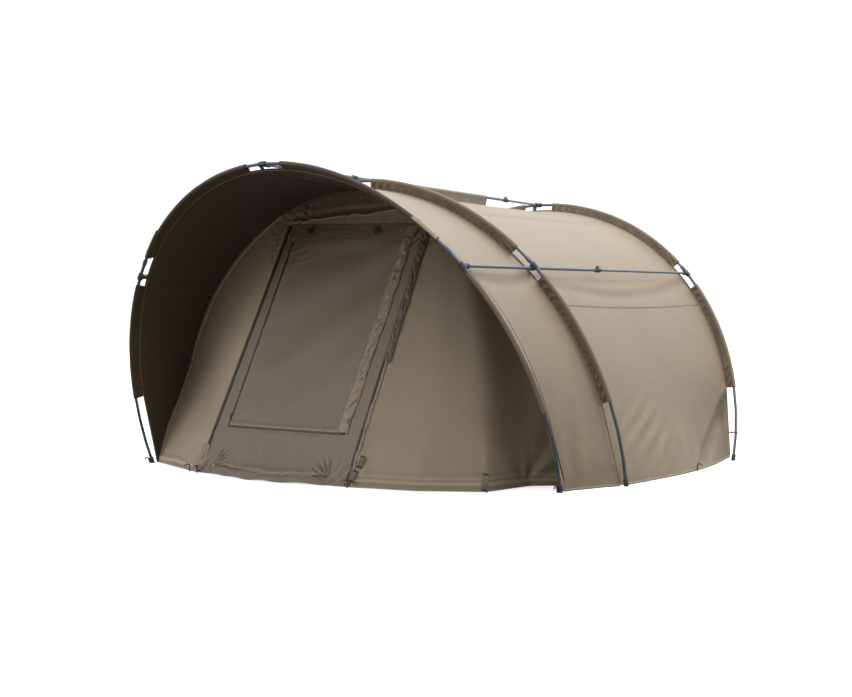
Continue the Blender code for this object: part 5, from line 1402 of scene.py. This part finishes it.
def make_ties():
    for hoop in (FRONT, MIDDLE, REAR):
        hoop_strap(hoop, math.pi / 2 + 0.022, f"{hoop.name}_top_tie")
    for side, sign in (("right", 1), ("left", -1)):
        leg_loop(REAR, sign, 0.155, f"rear_{side}_leg_loop")
        toggle_bow(side, f"{side}_toggle_bow")


def make_piping():
    """Piping low on the left wing's edge and beside the zips, and a binding along the window's lower edge."""
    edge = rounded(left_edge(), 160, 0.03)[2:48] + FACE * 0.0030
    jobs = [("left_wing_piping", edge, 0.0028, "tent", "wall_cloth")]
    ups = np.linspace(0.01, 0.985, 220)
    for name, over, side in (("left", 0.0, -1), ("right", 1.0, 1)):
        path = door_at(0 * ups + over, ups)
        _, across, out = zip_frame(path)
        wander = 0.0012 * noise(lengths(path) / 0.05, lengths(path) * 0, 181)[:, None]
        path = path + across * (side * 0.0095 + wander) + out * 0.0036
        jobs.append((f"door_{name}_zip_piping", path, 0.0026, "tent", "wall_cloth"))
    shares = np.linspace(0.01, 0.985, 160)
    low = WINDOW_UP[0] + 0.0052
    path = window_at(shares, low)
    jobs.append(("window_lower_binding", path + FACE * 0.0036, 0.0018, "window", "door_cloth"))
    for name, path, radius, body, slot in jobs:
        tube_piece(name, path, radius, PIPING, body)


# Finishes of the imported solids

def finish_nodes():
    for name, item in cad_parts.items():
        if "pole" in name:
            material = POLE
        elif "_bar_" in name and not name.endswith(("collar", "sleeve")):
            material = BAR
        elif name.endswith("peg"):
            material = PEG
        elif name.endswith(("foot", "connector", "collar", "toggle", "slider")):
            material = PLASTIC
        else:
            continue
        item.data.materials.clear()
        item.data.materials.append(material)
        smooth = item.modifiers.new("edges", "EDGE_SPLIT")
        smooth.split_angle = math.radians(SMOOTH_ANGLE)
        for face in item.data.polygons:
            face.use_smooth = True


# Studio

def add_area(name, place, target, size, power):
    light = bpy.data.lights.new(name, "AREA")
    light.shape = "DISK"
    light.size = size
    light.energy = power
    item = bpy.data.objects.new(name, light)
    item.location = place
    item.rotation_mode = "QUATERNION"
    item.rotation_quaternion = (Vector(target) - Vector(place)).to_track_quat("-Z", "Y")
    bpy.context.scene.collection.objects.link(item)


def stage_material(name, colour, glow):
    material, _, shader = new_material(name, colour, 0.9)
    shader.inputs["Emission Color"].default_value = (1.0, 1.0, 1.0, 1.0)
    shader.inputs["Emission Strength"].default_value = glow
    return material


def add_stage(name, points, faces, material):
    mesh = bpy.data.meshes.new(name)
    mesh.from_pydata(points, [], faces)
    mesh.materials.append(material)
    piece = bpy.data.objects.new(name, mesh)
    bpy.context.scene.collection.objects.link(piece)
    for kind in ("diffuse", "glossy", "transmission", "shadow"):
        setattr(piece, f"visible_{kind}", False)


def make_studio():
    """A white floor and backdrop that the camera sees, under a soft sky that is brightest overhead."""
    reach, wall, steps = 30.0, 60.0, 48
    corners = [(x * reach, y * reach, 0.0) for x, y in ((-1, -1), (1, -1), (1, 1), (-1, 1))]
    add_stage("studio_floor", corners, [(0, 1, 2, 3)], stage_material("floor_white", (0.7, 0.7, 0.7), 0.72))
    turn = [2 * math.pi * k / steps for k in range(steps)]
    ring = [(wall * math.cos(a), wall * math.sin(a), z) for z in (-40.0, 60.0) for a in turn]
    sides = [(k, (k + 1) % steps, steps + (k + 1) % steps, steps + k) for k in range(steps)]
    lids = [tuple(range(steps))[::-1], tuple(range(steps, 2 * steps))]
    add_stage("studio_backdrop", ring, sides + lids, stage_material("backdrop_white", (0.0, 0.0, 0.0), 1.2))
    world = bpy.data.worlds.new("studio")
    bpy.context.scene.world = world
    world.use_nodes = True
    tree = world.node_tree
    sky = tree.nodes["Background"]
    place = node(tree, "ShaderNodeTexCoord").outputs["Generated"]
    height = node(tree, "ShaderNodeSeparateXYZ")
    tree.links.new(place, height.inputs[0])
    ramp = node(tree, "ShaderNodeValToRGB")
    tree.links.new(ranged(tree, height.outputs["Z"], -1.0, 1.0, 0.0, 1.0), ramp.inputs[0])
    stops = ramp.color_ramp.elements
    for spot, value in ((0.0, GROUND_LIGHT), (0.49, GROUND_LIGHT), (0.52, HORIZON_LIGHT), (0.75, MIDDLE_LIGHT),
                        (1.0, 1.0)):
        stop = stops[0] if spot == 0.0 else stops[-1] if spot == 1.0 else stops.new(spot)
        stop.color = (value, value, value, 1.0)
    tree.links.new(ramp.outputs["Color"], sky.inputs["Color"])
    sky.inputs["Strength"].default_value = SKY_STRENGTH
    add_area("key", (1.5, 2.5, 6.5), (0.2, 0.2, 0.6), 5.0, KEY_POWER)
    add_area("fill", (-4.5, -5.5, 2.2), (-0.6, -0.8, 0.2), 3.0, FILL_POWER)
    add_area("side", (6.5, 1.5, 2.8), (1.0, 0.3, 0.6), 3.0, SIDE_POWER)
    add_area("wing", (0.9, -3.4, 0.55), (-0.95, -0.75, 0.32), 0.9, WING_POWER)


def add_camera():
    data = bpy.data.cameras.new("camera")
    data.lens = CAMERA_LENS
    data.sensor_width = SENSOR_WIDTH
    data.clip_end = 200
    camera = bpy.data.objects.new("camera", data)
    camera.location = CAMERA_PLACE
    camera.rotation_euler = (math.radians(90 + CAMERA_PITCH), 0.0, math.radians(CAMERA_YAW))
    bpy.context.scene.collection.objects.link(camera)
    bpy.context.scene.camera = camera


bpy.context.scene.view_settings.view_transform = "Standard"
add_camera()
make_studio()
finish_nodes()
hood_grid = make_hood()
main_grid = make_main()
make_hems(hood_grid, main_grid)
grid_seams(hood_grid, main_grid)
make_sleeves()
make_bar_sleeve(main_grid)
make_front_wall()
make_door()
make_window()
make_rear()
make_zips()
make_flaps()
make_straps()
make_ties()
make_piping()
